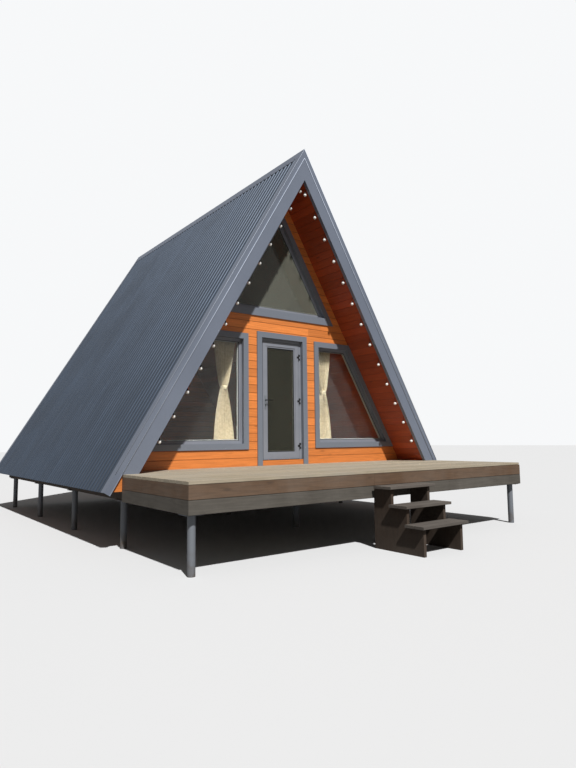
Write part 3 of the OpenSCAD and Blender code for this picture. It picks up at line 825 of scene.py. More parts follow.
def board_run_tree():
    """Boards side by side along X, each Length long along Z, with eased long edges."""
    tree = Assembly("Board run", {
        "Length": 1.0, "Width": 0.1, "Thickness": 0.02, "Pitch": 0.1, "Count": 1, "Edge": 0.003,
        "Proud": 0.0, "Turn": (0, 0, 0), "Place": (0, 0, 0), "Seed": 0, "Material": None})
    outline = tree.out("GeometryNodeCurvePrimitiveQuadrilateral", {
        "Width": tree["Width"], "Height": tree["Thickness"]}, mode="RECTANGLE")
    eased = tree.out("GeometryNodeFilletCurve", {
        "Curve": outline, "Count": 1, "Radius": tree["Edge"]}, mode="POLY")
    end = tree.out("GeometryNodeFillCurve", {"Curve": eased}, mode="NGONS")
    body = tree.out("GeometryNodeExtrudeMesh", {
        "Mesh": end, "Offset": tree.xyz(z=tree["Length"]), "Offset Scale": 1.0,
        "Individual": False}, mode="FACES")
    closed = tree.join(tree.out("GeometryNodeFlipFaces", {"Mesh": end}), body)
    board = tree.out("GeometryNodeMergeByDistance", {"Geometry": closed, "Distance": 0.0001})
    facing = tree.parts(tree.out("GeometryNodeInputNormal"))
    slant = tree.calc("ABSOLUTE", tree.times(facing[0], facing[1]))
    # Eased edges count as joint faces, which the wood finishes darken as dirt and painted shade
    board = tree.stored(board, "joint", tree.calc("GREATER_THAN", slant, 0.2), "FACE")
    boards = tree.copies(tree.row(tree["Count"], tree.xyz(tree["Pitch"])), board)
    lift = tree.times(tree.chance(tree["Seed"]), tree["Proud"])
    moved = tree.out("GeometryNodeTranslateInstances", {
        "Instances": boards, "Translation": tree.xyz(y=lift)})
    shade = tree.chance(tree.plus(tree["Seed"], 5.0))
    return tree.placed(tree.stored(moved, "shade", shade, "INSTANCE"))


def screw_grid_tree():
    """Screw heads with a washer, in rows along X and Y, that stand up along Z."""
    tree = Assembly("Screw grid", {
        "Pitch A": 0.1, "Count A": 1, "Pitch B": 0.1, "Count B": 1, "Head": 0.004, "Sides": 6,
        "Height": 0.004, "Washer": 0.008, "Turn": (0, 0, 0), "Place": (0, 0, 0), "Material": None})
    height = tree["Height"]
    head = tree.cylinder(tree["Sides"], tree["Head"], height)
    washer = tree.cylinder(12, tree["Washer"], tree.times(height, 0.25))
    screw = tree.join(tree.moved(head, tree.times(height, 0.5)), washer)
    along = tree.row(tree["Count A"], tree.xyz(tree["Pitch A"]))
    across = tree.row(tree["Count B"], tree.xyz(y=tree["Pitch B"]))
    return tree.placed(tree.copies(tree.real(tree.copies(along, across)), screw))


SOCKET_SIZE = 0.013
SOCKET_DEPTH = 2.2
GLOBE_DEPTH = 0.85


def lamp_line_tree():
    """Globe lamps that hang from a line of points, each on a socket and a short stem."""
    tree = Assembly("Lamp line", {
        "Start": (0, 0, 0), "Step": (0, 0, -0.4), "Count": 1, "Globe": 0.025,
        "Socket": SOCKET_SIZE, "Stem": 0.03, "Glass": None, "Metal": None})
    stem, size, radius = (tree[label] for label in ("Stem", "Socket", "Globe"))

    def below(geometry, *lengths):
        """Moves a part down by the sum of the given lengths."""
        total = lengths[0]
        for more in lengths[1:]:
            total = tree.plus(total, more)
        return tree.moved(geometry, tree.times(total, -1.0))

    bar = tree.cylinder(8, 0.0025, stem)
    socket = tree.out("GeometryNodeMeshCone", {
        "Vertices": 16, "Radius Top": tree.times(size, 0.7), "Radius Bottom": size,
        "Depth": tree.times(size, 2.4)}, fill_type="NGON")
    metal = tree.join(below(bar, tree.times(stem, 0.5)), below(socket, stem, tree.times(size, 2.4)))
    globe = tree.out("GeometryNodeSetShadeSmooth", {0: tree.out("GeometryNodeMeshUVSphere", {
        "Segments": 20, "Rings": 12, "Radius": radius})})
    globe = below(globe, stem, tree.times(size, SOCKET_DEPTH), tree.times(radius, GLOBE_DEPTH))
    lamp = tree.join(tree.painted(metal, "Metal"), tree.painted(globe, "Glass"))
    line = tree.row(tree["Count"], tree["Step"], tree["Start"])
    return tree.give(Geometry=tree.real(tree.copies(line, lamp)))


# Boards of the gables

def upright(x):
    """A side of an opening at a fixed x."""
    return lambda z: x


def slanted(side, depth):
    """A side of an opening along the roof, at a depth below its outer face."""
    return lambda z: side * slope_x(depth, z)


def board(bm, shade, y0, y1, z0, z1, left, right, cut_low, cut_high):
    """One course of a boarded wall. left and right give its ends at a height, and the
    cuts are the depths of the V grooves along its lower and upper edges."""
    profile = [(y0 + cut_low, z0), (y0, z0 + cut_low), (y0, z1 - cut_high), (y0 + cut_high, z1),
               (y1 - cut_high, z1), (y1, z1 - cut_high), (y1, z0 + cut_low), (y1 - cut_low, z0)]
    slim = [p for i, p in enumerate(profile) if p != profile[i - 1]]
    rings = [[(end(z), y, z) for y, z in slim] for end in (left, right)]
    board_faces(bm, rings, shade, lambda normal: 0.3 < abs(normal.y) < 0.9)


def spans_at(z, openings):
    """The stretches of wall at a height, as pairs of functions that give their ends."""
    walls = [(slanted(-1, INNER_DEPTH), slanted(1, INNER_DEPTH))]
    for bottom, top, left, right in openings:
        if bottom < z < top:
            split = []
            for a, b in walls:
                inside = left(z) > a(z) and right(z) < b(z)
                split += [(a, left), (right, b)] if inside else [(a, b)]
            walls = split
    return walls


def boarded_wall(name, y0, y1, openings, settings, *nodes):
    """A gable of horizontal boards round its openings, from deck level to the peak."""
    sliver, half_butt, tip_gap, least_course = 0.002, 0.0008, 0.001, 0.02
    longest, shortest = 2.4, 0.5
    rng = random.Random(settings.seed)
    bm = board_bmesh()
    levels = sorted({round(z, 5) for bottom, top, _, _ in openings for z in (bottom, top)})
    peak = apex_z(INNER_DEPTH)
    z = DECK_Z
    while z < peak - least_course:
        top = min(z + settings.cover, peak - tip_gap)
        cuts = [z, *(level for level in levels if z + sliver < level < top - sliver), top]
        tones = [rng.random() for _ in range(8)]
        joint = rng.uniform(-0.5, 0.5)
        for z0, z1 in zip(cuts, cuts[1:]):
            cut_low = settings.groove if z0 == z and z > DECK_Z else 0.0
            cut_high = settings.groove if z1 == top else 0.0
            for i, (a, b) in enumerate(spans_at((z0 + z1) / 2, openings)):
                wide = b(z0) - a(z0)
                boards = [(tones[i], a, b)]
                if wide > longest and wide * min(0.5 + joint, 0.5 - joint) > shortest:
                    split = a(z0) + wide * (0.5 + joint)
                    boards = [(tones[i], a, upright(split - half_butt)),
                              (tones[i + 4], upright(split + half_butt), b)]
                for tone, left, right in boards:
                    board(bm, tone, y0, y1, z0, z1, left, right, cut_low, cut_high)
        z += settings.cover
    add_piece(name, bm, "gable_wood", "cabin", "stained_wood", *nodes)


class CABIN_OT_gables(bpy.types.Operator):
    """Builds both boarded gable walls round their openings"""

    bl_idname = "cabin.gables"
    bl_label = "Gable boards"

    def execute(self, context):
        settings = context.scene.cabin_boards
        tip_gap, below_deck = 0.004, 0.01
        upper = (UPPER_LOW, apex_z(UPPER_DEPTH) - tip_gap, slanted(-1, UPPER_DEPTH),
                 slanted(1, UPPER_DEPTH))
        front = [(WINDOW_LOW, WINDOW_HIGH, slanted(-1, WINDOW_DEPTH), upright(-WINDOW_IN)),
                 (WINDOW_LOW, WINDOW_HIGH, upright(WINDOW_IN), slanted(1, WINDOW_DEPTH)),
                 (DECK_Z - below_deck, DOOR_TOP, upright(-DOOR_HALF), upright(DOOR_HALF)), upper]
        boarded_wall("gable_boards", WALL_Y, WALL_BACK_Y, front, settings, "front_sills", "front_piers",
                     "front_head_wall", "front_peak_wall", "front_rafter_left", "front_rafter_right")
        back = [(BACK_WINDOW_LOW, WINDOW_HIGH, upright(-BACK_HALF), upright(BACK_HALF)), upper]
        boarded_wall("back_gable_boards", BACK_WALL_Y, BACK_FACE_Y, back, settings, "back_wall")
        return {"FINISHED"}


class CABIN_OT_lining(bpy.types.Operator):
    """Lays the boards under both roof slopes, inside and under the verges"""

    bl_idname = "cabin.lining"
    bl_label = "Lining boards"

    def execute(self, context):
        settings = context.scene.cabin_boards
        tree = board_run_tree()
        y0, y1 = span("roof_lining_right")
        middle = (INNER_DEPTH + LINING_DEPTH) / 2
        start = INNER_DEPTH / math.tan(HALF_ANGLE)
        end = (RIDGE_Z - DECK_Z - INNER_DEPTH * SIN) / COS
        count = int((end - start) / settings.lining_cover)
        pitch = (end - start) / count
        for side, name in ((-1, "left"), (1, "right")):
            down, out, along = slope_axes(side)
            origin = Vector((0, y0 if along.y > 0 else y1, RIDGE_Z))
            origin = origin + down * (start + pitch / 2) - out * middle
            piece = bake_tree(f"lining_boards_{name}", tree, {
                "Length": y1 - y0, "Width": pitch, "Thickness": INNER_DEPTH - LINING_DEPTH,
                "Pitch": pitch, "Count": count, "Edge": settings.groove * 0.6,
                "Seed": settings.seed + side, "Material": Kit.finishes["soffit_wood"],
                **standing((down, out, along), origin)})
            hand_over(piece, "cabin", "stained_wood", f"roof_lining_{name}")
        return {"FINISHED"}


def board_rows(tree, name, xs, ys, top, settings, seed, finish, gap, splits=((),), proud=0.0):
    """Boards along X that fill a strip of floor. splits gives the shares at which the
    boards of each row in turn are butted."""
    (x0, x1), (y0, y1) = xs, ys
    half_butt = 0.001
    count = max(1, round((y1 - y0) / settings.deck_cover))
    pitch = (y1 - y0) / count
    stride = len(splits)
    runs = []
    for offset, shares in enumerate(splits):
        marks = [0.0, *shares, 1.0]
        for part, (a, b) in enumerate(zip(marks, marks[1:])):
            left = x0 + (x1 - x0) * a + (half_butt if a else 0.0)
            right = x0 + (x1 - x0) * b - (half_butt if b < 1.0 else 0.0)
            origin = (left, y0 + pitch * (offset + 0.5), top - settings.deck_t / 2)
            runs.append(bake_tree(f"{name}_{offset}_{part}", tree, {
                "Length": right - left, "Width": pitch - gap, "Thickness": settings.deck_t,
                "Pitch": pitch * stride, "Count": len(range(offset, count, stride)),
                "Edge": settings.edge, "Seed": seed + 10 * offset + part, "Proud": proud,
                "Material": Kit.finishes[finish],
                **standing(((0, 1, 0), (0, 0, 1), (1, 0, 0)), origin)}))
    return runs


class CABIN_OT_decking(bpy.types.Operator):
    """Lays the deck, porch and house floors and the treads, board by board"""

    bl_idname = "cabin.decking"
    bl_label = "Decking and treads"

    def execute(self, context):
        settings = context.scene.cabin_boards
        tree = board_run_tree()
        gap, seed = settings.deck_gap, settings.seed
        staggered, sunk = ((0.42,), (0.68,), (0.31,)), -0.0012
        deck = span("deck_floor", "x"), span("deck_floor")
        side_gap, under_wall, most_missing = 0.002, 0.02, 0.2
        porch_seed, house_seed, tread_seed = seed + 50, seed + 90, seed + 200
        half = slope_x(LINING_DEPTH, DECK_Z) - side_gap
        if high("house_floor").x < half - most_missing:
            raise RuntimeError("the house floor is narrower than the space between the slopes")
        sill = WALL_Y + under_wall
        porch = (-half, half), (high("deck_floor").y, sill)
        house = (-half, half), (sill, high("house_floor").y)
        rows = board_rows(tree, "deck_run", *deck, DECK_Z, settings, seed, "deck_wood", gap,
                          staggered, sunk)
        hand_over(join_meshes("deck_boards", rows), "cabin", "deck_wood", "deck_floor")
        rows = board_rows(tree, "porch_run", *porch, DECK_Z, settings, porch_seed, "deck_wood", gap,
                          staggered, sunk)
        rows += board_rows(tree, "house_run", *house, DECK_Z, settings, house_seed, "floor_wood", 0.0,
                           staggered)
        hand_over(join_meshes("floor_boards", rows), "cabin", "deck_wood", "house_floor")
        treads = []
        corners = points("stair_treads")
        for i, level in enumerate(sorted({round(c.z, 4) for c in corners})[1::2]):
            ends = [c.y for c in corners if abs(c.z - level) < 0.0005]
            treads += board_rows(tree, f"tread_{i}", span("stair_treads", "x"), (min(ends), max(ends)),
                                 level, settings, tread_seed + i, "tread_wood", gap)
        hand_over(join_meshes("tread_boards", treads), "cabin", "deck_wood", "stair_treads")
        return {"FINISHED"}


def eased_bar(bm, start, end, wide, half_w, half_h, edge, shade):
    """A level board from start to end, with eased long edges. wide is the axis that
    half_w is measured along."""
    wide, up = Vector(wide), Vector((0, 0, 1))
    corners = []
    for sw, su in ((1, 1), (-1, 1), (-1, -1), (1, -1)):
        a, b = (sw * (half_w - edge), su * half_h), (sw * half_w, su * (half_h - edge))
        corners += [b, a] if sw * su > 0 else [a, b]
    rings = [[tuple(Vector(p) + wide * w + up * u) for w, u in corners] for p in (start, end)]
    board_faces(bm, rings, shade, lambda normal: abs(normal.dot(wide) * normal.dot(up)) > 0.3)


class CABIN_OT_rim(bpy.types.Operator):
    """Clads the deck's rim with an upper and a lower board on each side"""

    bl_idname = "cabin.rim"
    bl_label = "Deck rim boards"

    def execute(self, context):
        rng = random.Random(context.scene.cabin_boards.seed + 3)
        half = high("deck_frame").x
        front, back = span("deck_frame")
        skin, edge, half_butt, margin = 0.0045, 0.002, 0.001, 0.002
        front_gap, back_gap = 0.0005, 0.001
        for node, name, finish, joint in (
                ("deck_frame", "rim_boards_upper", "rim_wood", 0.44),
                ("deck_beams", "rim_boards_lower", "beam_wood", 0.62)):
            bm = board_bmesh()
            z0, z1 = span(node, "z")
            middle, tall = (z0 + z1) / 2, (z1 - z0) / 2 - margin
            split = -half + 2 * half * joint
            y = front - skin / 2
            for a, b in ((-half - skin, split - half_butt), (split + half_butt, half + skin)):
                eased_bar(bm, (a, y, middle), (b, y, middle), (0, 1, 0), skin / 2, tall, edge,
                          rng.random())
            for side in (-1, 1):
                x = side * (half + skin / 2)
                eased_bar(bm, (x, front + front_gap, middle), (x, back - back_gap, middle),
                          (1, 0, 0), skin / 2, tall, edge, rng.random())
            add_piece(name, bm, finish, "cabin", "frame_wood")
        return {"FINISHED"}


class CABIN_OT_trims(bpy.types.Operator):
    """Folds metal trims into the window reveals, and lays hems along the verges whose light grey is a
    painted highlight
    """

    bl_idname = "cabin.trims"
    bl_label = "Reveal trims and hems"

    def execute(self, context):
        lap = DOOR_HALF - min(abs(p.x) for p in points("door_casing"))
        metal, lining_t, foot_gap = 0.002, 0.008, 0.01
        door = box_outline(-DOOR_HALF, DOOR_HALF, high("door_strip").z - lap, DOOR_TOP)
        front = (RIGHT_WINDOW, UPPER_WINDOW, door, LEFT_WINDOW)
        rear = (UPPER_WINDOW, BACK_WINDOW)
        bm = bmesh.new()
        for outlines, y0, y1 in ((front, WALL_Y, low("window_frames").y),
                                 (rear, high("back_frames").y, BACK_FACE_Y)):
            for outline in outlines:
                outline_ring(bm, inset_outline(outline, lap - metal), inset_outline(outline, lap), y0, y1)
        add_piece("reveal_trims", bm, "casing_metal", "cabin", "casing_metal")

        bm = bmesh.new()
        lining = context.scene.cabin_fittings.frame_face - lining_t
        front = (RIGHT_WINDOW, UPPER_WINDOW, LEFT_WINDOW)
        for outlines, y0, y1 in ((front, high("window_frames").y, WALL_BACK_Y),
                                 (rear, BACK_WALL_Y, low("back_frames").y)):
            for outline in outlines:
                outline_ring(bm, outline, inset_outline(outline, lining), y0, y1)
        add_piece("inner_reveals", bm, "inner_white", "cabin", "frame_plastic")

        bm = bmesh.new()
        face_y = low("front_flashings").y
        inner_x = min(abs(p.x) + (p.z - DECK_Z) * TAN for p in points("front_flashings")
                      if abs(p.y - face_y) < 0.001)
        foot_z = low("front_fascia_right").z + foot_gap
        from_face, from_edge, tip_gap = 0.003, 0.004, 0.002
        hems = ((from_edge, 0.003), (depth_at(inner_x, DECK_Z) - from_edge, 0.0045))
        for side in (-1, 1):
            for y in (face_y + from_face, high("back_flashings").y - from_face):
                for depth, radius in hems:
                    top = (0.0, y, apex_z(depth) - tip_gap)
                    rod(bm, [top, (side * slope_x(depth, foot_z), y, foot_z)], radius, 8)
        # Painted highlight: the hems are light grey rods along the verge edges
        add_piece("verge_hems", bm, "bare_fold", "cabin", "roof_metal", smooth=True)
        return {"FINISHED"}


def glaze(body, names, panes, face, seal, spacer):
    """Makes the seals on both faces of some panes, and the spacers inside them. names are
    those of both pieces, panes the outlines of frames with their nodes."""
    proud, clear, cover, under_frame = 0.003, 0.0001, 0.004, 0.001
    seals, spacers = bmesh.new(), bmesh.new()
    for outline, node in panes:
        y0, y1 = span(node)
        outer = inset_outline(outline, face - under_frame)
        inner = inset_outline(outline, face + seal)
        outline_ring(seals, outer, inner, y0 - proud, y0 - clear)
        outline_ring(seals, outer, inner, y1 + clear, y1 + proud)
        outline_ring(spacers, outer, inset_outline(outline, face + seal + spacer), y0 + cover, y1 - cover)
    add_piece(names[0], seals, "rubber", body, "black_metal")
    add_piece(names[1], spacers, "spacer_metal", body, "pile_steel")


class CABIN_OT_seals(bpy.types.Operator):
    """Runs a black seal round every pane, on both faces"""

    bl_idname = "cabin.seals"
    bl_label = "Glazing seals"

    def execute(self, context):
        fittings = context.scene.cabin_fittings
        face = fittings.frame_face
        panes = ((LEFT_WINDOW, "window_panes"), (RIGHT_WINDOW, "window_panes"),
                 (UPPER_WINDOW, "window_panes"), (BACK_WINDOW, "back_panes"),
                 (UPPER_WINDOW, "back_panes"))
        glaze("cabin", ("window_seals", "window_spacers"), panes, face, fittings.seal, fittings.spacer)
        rebate = 0.014
        reach = face - rebate
        (left, right), (bottom, top) = span("door_pane", "x"), span("door_pane", "z")
        outline = box_outline(left - reach, right + reach, bottom - reach, top + reach)
        glaze("door", ("door_seal", "door_spacer"), [(outline, "door_pane")], face,
              fittings.door_seal, fittings.door_spacer)
        return {"FINISHED"}


def disc(bm, x, z, radius, y0, y1, edge):
    """A round button in X and Z, from y0 to y1, with an eased front edge."""
    rounded_slab(bm, (x, z), radius, radius, y0, y1, radius - 0.0001, edge)


class CABIN_OT_door_hardware(bpy.types.Operator):
    """Makes the door's long plates with lock cylinder, and its bent levers"""

    bl_idname = "cabin.door_hardware"
    bl_label = "Door hardware"

    def execute(self, context):
        plate_low, plate_high = low("handle_plates"), high("handle_plates")
        handle_low, handle_high = low("door_handle"), high("door_handle")
        x = (plate_low.x + plate_high.x) / 2
        plate_z = (plate_low.z + plate_high.z) / 2
        half_w, half_h = plate_high.x - x, plate_high.z - plate_z
        spindle_z = (handle_low.z + handle_high.z) / 2
        lock_z, lock_proud, screw_proud, screw_inset = spindle_z - 0.085, 0.003, 0.0012, 0.012
        plate_corner, plate_edge, half_lock, lock_edge = 0.013, 0.002, 0.008, 0.001
        barrel_r, key_half_w, key_half_h, key_corner = 0.0115, 0.007, 0.015, 0.0069
        screw_r, screw_edge = 0.004, 0.0006
        leaf = span("door_leaf")
        plates, locks = bmesh.new(), bmesh.new()
        for outer, inner in zip((plate_low.y, plate_high.y), leaf):
            out = math.copysign(1, outer - inner)
            lock_y = outer + out * lock_proud
            rounded_slab(plates, (x, plate_z), half_w, half_h, outer, inner,
                         plate_corner, plate_edge)
            disc(locks, x, lock_z + half_lock, barrel_r, lock_y, outer, lock_edge)
            rounded_slab(locks, (x, lock_z - half_lock), key_half_w, key_half_h, lock_y, outer,
                         key_corner, lock_edge)
            for z in (plate_low.z + screw_inset, plate_high.z - screw_inset):
                disc(plates, x, z, screw_r, outer + out * screw_proud, outer, screw_edge)
        add_piece("lock_plates", plates, "plate_metal", "door", "pile_steel", "handle_plates")
        add_piece("lock_cylinders", locks, "black_metal", "door", "black_metal")

        radius = (handle_high.z - handle_low.z) / 2
        bend, steps, inset, spindle_r = 0.022, 7, 0.03, 0.0075
        grip_share, collar, collar_r, collar_edge = 0.94, 0.006, 0.0125, 0.0015
        bm = bmesh.new()
        rod(bm, [(x, handle_low.y + inset, spindle_z), (x, handle_high.y - inset, spindle_z)],
            spindle_r)
        for face, far in ((plate_low.y, handle_low.y), (plate_high.y, handle_high.y)):
            out = math.copysign(1, far - face)
            grip = far - out * radius
            corner = grip - out * bend
            turn = [(x + bend * (1 - math.cos(a)), corner + out * bend * math.sin(a), spindle_z)
                    for a in (math.pi / 2 * k / steps for k in range(steps + 1))]
            tips = [(handle_high.x - gap, grip, spindle_z) for gap in (0.004, 0.001)]
            rod(bm, [(x, face, spindle_z), *turn, *tips], radius * grip_share)
            disc(bm, x, spindle_z, collar_r, face + out * collar, face, collar_edge)
        add_piece("bent_levers", bm, "black_metal", "handle", "black_metal", "door_handle", smooth=True)
        return {"FINISHED"}


class CABIN_OT_lamps(bpy.types.Operator):
    """Hangs a line of globe lamps behind both front verges"""

    bl_idname = "cabin.lamps"
    bl_label = "Verge lamps"

    def execute(self, context):
        fittings = context.scene.cabin_fittings
        tree = lamp_line_tree()
        behind = 0.016
        y = high("front_fascia_right").y + behind
        rows = []
        for side in (-1, 1):
            down, out, _ = slope_axes(side)
            first = fittings.lamp_first + side * fittings.lamp_shift - fittings.lamp_drop * COS
            start = Vector((0, y, RIDGE_Z)) + down * first - out * INNER_DEPTH
            rows.append(bake_tree(f"lamp_row_{side}", tree, {
                "Start": tuple(start), "Step": tuple(down * fittings.lamp_pitch),
                "Count": fittings.lamp_count, "Globe": fittings.globe,
                "Stem": fittings.lamp_drop - SOCKET_SIZE * SOCKET_DEPTH - fittings.globe * GLOBE_DEPTH,
                "Glass": Kit.finishes["lamp_globe"], "Metal": Kit.finishes["black_metal"]}))
        hand_over(join_meshes("verge_lamps", rows), "cabin", "black_metal")
        return {"FINISHED"}


def screws(name, tree, finish, grid, size, axes, origin):
    """A grid of screws. grid holds the pitch and count along both axes, and size the
    head's radius, sides and height and the washer's radius."""
    labels = ("Pitch A", "Count A", "Pitch B", "Count B", "Head", "Sides", "Height", "Washer")
    return bake_tree(name, tree, {
        **dict(zip(labels, (*grid, *size))), **standing(axes, origin), "Material": Kit.finishes[finish]})


class CABIN_OT_fasteners(bpy.types.Operator):
    """Puts screws in the roof sheets, the ridge cap and the deck"""

    bl_idname = "cabin.fasteners"
    bl_label = "Screws"

    def execute(self, context):
        tree = screw_grid_tree()
        roof_screw, deck_screw = (0.0042, 6, 0.0045, 0.0085), (0.0035, 10, 0.0012, 0.0046)
        length_y = BACK_VERGE_Y - VERGE_Y
        pitch = context.scene.cabin_fittings.rib_pitch
        ribs = int((length_y - pitch) / pitch)
        first = (length_y - ribs * pitch) / 2 + pitch / 2
        slope = (RIDGE_Z - low("roof_sheet_right").z) / COS
        rows, top, margin, cap_row, washer_sunk = 8, 0.30, 0.36, 0.165, 0.0022
        grids = []
        for side in (-1, 1):
            down, out, along = slope_axes(side)
            end = VERGE_Y if along.y > 0 else BACK_VERGE_Y
            for start, step, count, sunk, name in (
                    (top, (slope - margin) / (rows - 1), rows, washer_sunk, "sheet"),
                    (cap_row, 1.0, 1, 0.0, "cap")):
                origin = Vector((0, end, RIDGE_Z)) + along * first + down * start - out * sunk
                grids.append(screws(f"{name}_screws_{side}", tree, "roof_screw",
                                    (pitch * 2, ribs // 2 + 1, -step, count), roof_screw,
                                    (along, down * -1, out), origin))
        hand_over(join_meshes("roof_screws", grids), "cabin", "roof_metal")

        half = high("deck_floor").x
        front, verge = span("deck_floor")
        count = round((verge - front) / context.scene.cabin_boards.deck_cover)
        pitch = (verge - front) / count
        joists, inset, far_inset, sunk = 10, 0.025, 0.031, 0.001
        grids = [screws(f"deck_screws_{place:.3f}", tree, "screw_steel",
                        ((2 * half - 2 * inset) / joists, joists + 1, pitch, count), deck_screw,
                        ((1, 0, 0), (0, 1, 0), (0, 0, 1)), (-half + inset, front + place, DECK_Z - sunk))
                 for place in (inset, pitch - far_inset)]
        hand_over(join_meshes("deck_screws", grids), "cabin", "black_metal")
        return {"FINISHED"}


class CABIN_OT_pile_bolts(bpy.types.Operator):
    """Bolts the head plate of every pile to its beam"""

    bl_idname = "cabin.pile_bolts"
    bl_label = "Pile bolts"

    def execute(self, context):
        tree = screw_grid_tree()
        plate, spread, plate_t = 0.2, 0.13, 0.008
        bolt = (0.009, 6, 0.008, 0.014)
        inset = (plate - spread) / 2
        bolts = []
        for node in ("deck_piles", "house_piles"):
            top = high(node).z
            spots = {(round(p.x, 3), round(p.y, 3)) for p in points(node) if p.z > top - 0.0005}
            for x, y in sorted(spots):
                if (round(x + plate, 3), y) in spots and (x, round(y + plate, 3)) in spots:
                    bolts.append(screws(f"bolts_{len(bolts)}", tree, "screw_steel",
                                        (spread, 2, spread, 2), bolt,
                                        ((1, 0, 0), (0, -1, 0), (0, 0, -1)),
                                        (x + inset, y + plate - inset, top - plate_t)))
        if not bolts:
            raise RuntimeError("no pile plates were found for the bolts")
        hand_over(join_meshes("pile_bolts", bolts), "cabin", "pile_steel")
        return {"FINISHED"}


# Curtains

CURTAIN_LEAN = 0.02


def curtain_mesh(box_low, box_high, tie, waist, cut_width, pleats, rng, side):
    """Gathered cloth that hangs in pleats, drawn in at its tie."""
    bm = bmesh.new()
    top, bottom = box_high.z, box_low.z
    centre_x, centre_y = (box_high.x + box_low.x) / 2, (box_high.y + box_low.y) / 2
    side_clear, depth_share, upper_flare, lower_flare = 0.01, 0.92, 0.7, 2.2
    half = (box_high.x - box_low.x) / 2 - side_clear
    deepest = (box_high.y - box_low.y) / 2 * depth_share
    columns, rows = pleats * 16, 90
    phases = [rng.uniform(-0.5, 0.5) for _ in range(pleats + 1)]
    grid = []
    for r in range(rows + 1):
        v = r / rows
        z = top + (bottom - top) * v
        if z > tie:
            width = waist + (half - waist) * ((z - tie) / (top - tie)) ** upper_flare
        else:
            share = (tie - z) / (tie - bottom)
            width = waist + (half * 0.9 - waist) * (1 - (1 - share) ** lower_flare)
        leaning = centre_x + side * CURTAIN_LEAN * math.sin(3.0 * v)
        slack = math.sqrt(max(0.0, cut_width ** 2 - (2 * width) ** 2))
        swing = min(deepest, slack / (4 * pleats) * 1.06)
        row = []
        for c in range(columns + 1):
            u = c / columns
            fold = u * pleats
            phase = phases[int(min(fold, pleats - 1))] * (1 - abs(2 * (fold % 1) - 1))
            wave = math.sin(2 * math.pi * fold + phase + 0.35 * math.sin(2.2 * v + fold))
            x = leaning + (2 * u - 1) * width + 0.1 * swing * math.sin(4 * math.pi * fold)
            row.append(bm.verts.new((x, centre_y + swing * wave, z)))
        grid.append(row)
    for a, b in zip(grid, grid[1:]):
        for i in range(columns):
            bm.faces.new((a[i], a[i + 1], b[i + 1], b[i]))
    return bm


class CABIN_OT_curtains(bpy.types.Operator):
    """Hangs a tied curtain behind each lower window, with its band and track"""

    bl_idname = "cabin.curtains"
    bl_label = "Curtains"

    def execute(self, context):
        fittings = context.scene.cabin_fittings
        rng = random.Random(context.scene.cabin_boards.seed)
        band_half, band_depth, bulge, edge, sides = 0.03, 0.039, 0.004, 0.005, 32
        headroom, track_half, track_depth, clear = 0.03, 0.014, 0.012, 0.0002
        cloth_t, inside_band, track_corner, track_edge = 0.0012, 0.005, 0.006, 0.002
        for side, name in ((-1, "left"), (1, "right")):
            node = f"curtain_{name}"
            box_low, box_high = low(node), high(node)
            box_high.z -= headroom
            x, y = (box_low.x + box_high.x) / 2, (box_low.y + box_high.y) / 2
            tied = min(points(node), key=lambda p: abs(p.x - x))
            tie = tied.z
            waist = abs(tied.x - x) - inside_band
            bm = curtain_mesh(box_low, box_high, tie, waist, fittings.curtain_width,
                              fittings.pleats, rng, side)
            cloth = make_piece(f"{node}_cloth", bm, "curtain_cloth", smooth=True)
            cloth.modifiers.new("Thickness", "SOLIDIFY").thickness = cloth_t
            hand_over(apply_modifiers(cloth), "cabin", "curtain_cloth", node)

            bm = bmesh.new()
            centre = x + side * CURTAIN_LEAN * math.sin(1.27)
            turns = [2 * math.pi * i / sides for i in range(sides)]
            rings = []
            for rise, grow in ((-band_half, 0.0), (edge - band_half, bulge), (band_half - edge, bulge),
                               (band_half, 0.0)):
                wide, deep = waist + bulge + grow, band_depth + grow
                rings.append([(centre + wide * math.cos(a), y + deep * math.sin(a), tie + rise)
                              for a in turns])
            ring_faces(bm, rings)
            band = add_piece(f"{node}_band", bm, "curtain_cloth", "cabin", "curtain_cloth", smooth=True)

            bm = bmesh.new()
            rear = WALL_BACK_Y + clear if y < WALL_BACK_Y else y + track_depth
            rounded_slab(bm, (x, box_high.z + track_half), (box_high.x - box_low.x) / 2, track_half,
                         y - track_depth, rear, track_corner, track_edge)
            track = add_piece(f"{node}_track", bm, "inner_white", "cabin", "curtain_cloth")
        return {"FINISHED"}


def heading(bearing, elevation):
    """A direction given in degrees, clockwise from Y and up from level."""
    turn, rise = math.radians(bearing), math.radians(elevation)
    return Vector((math.sin(turn) * math.cos(rise), math.cos(turn) * math.cos(rise), math.sin(rise)))


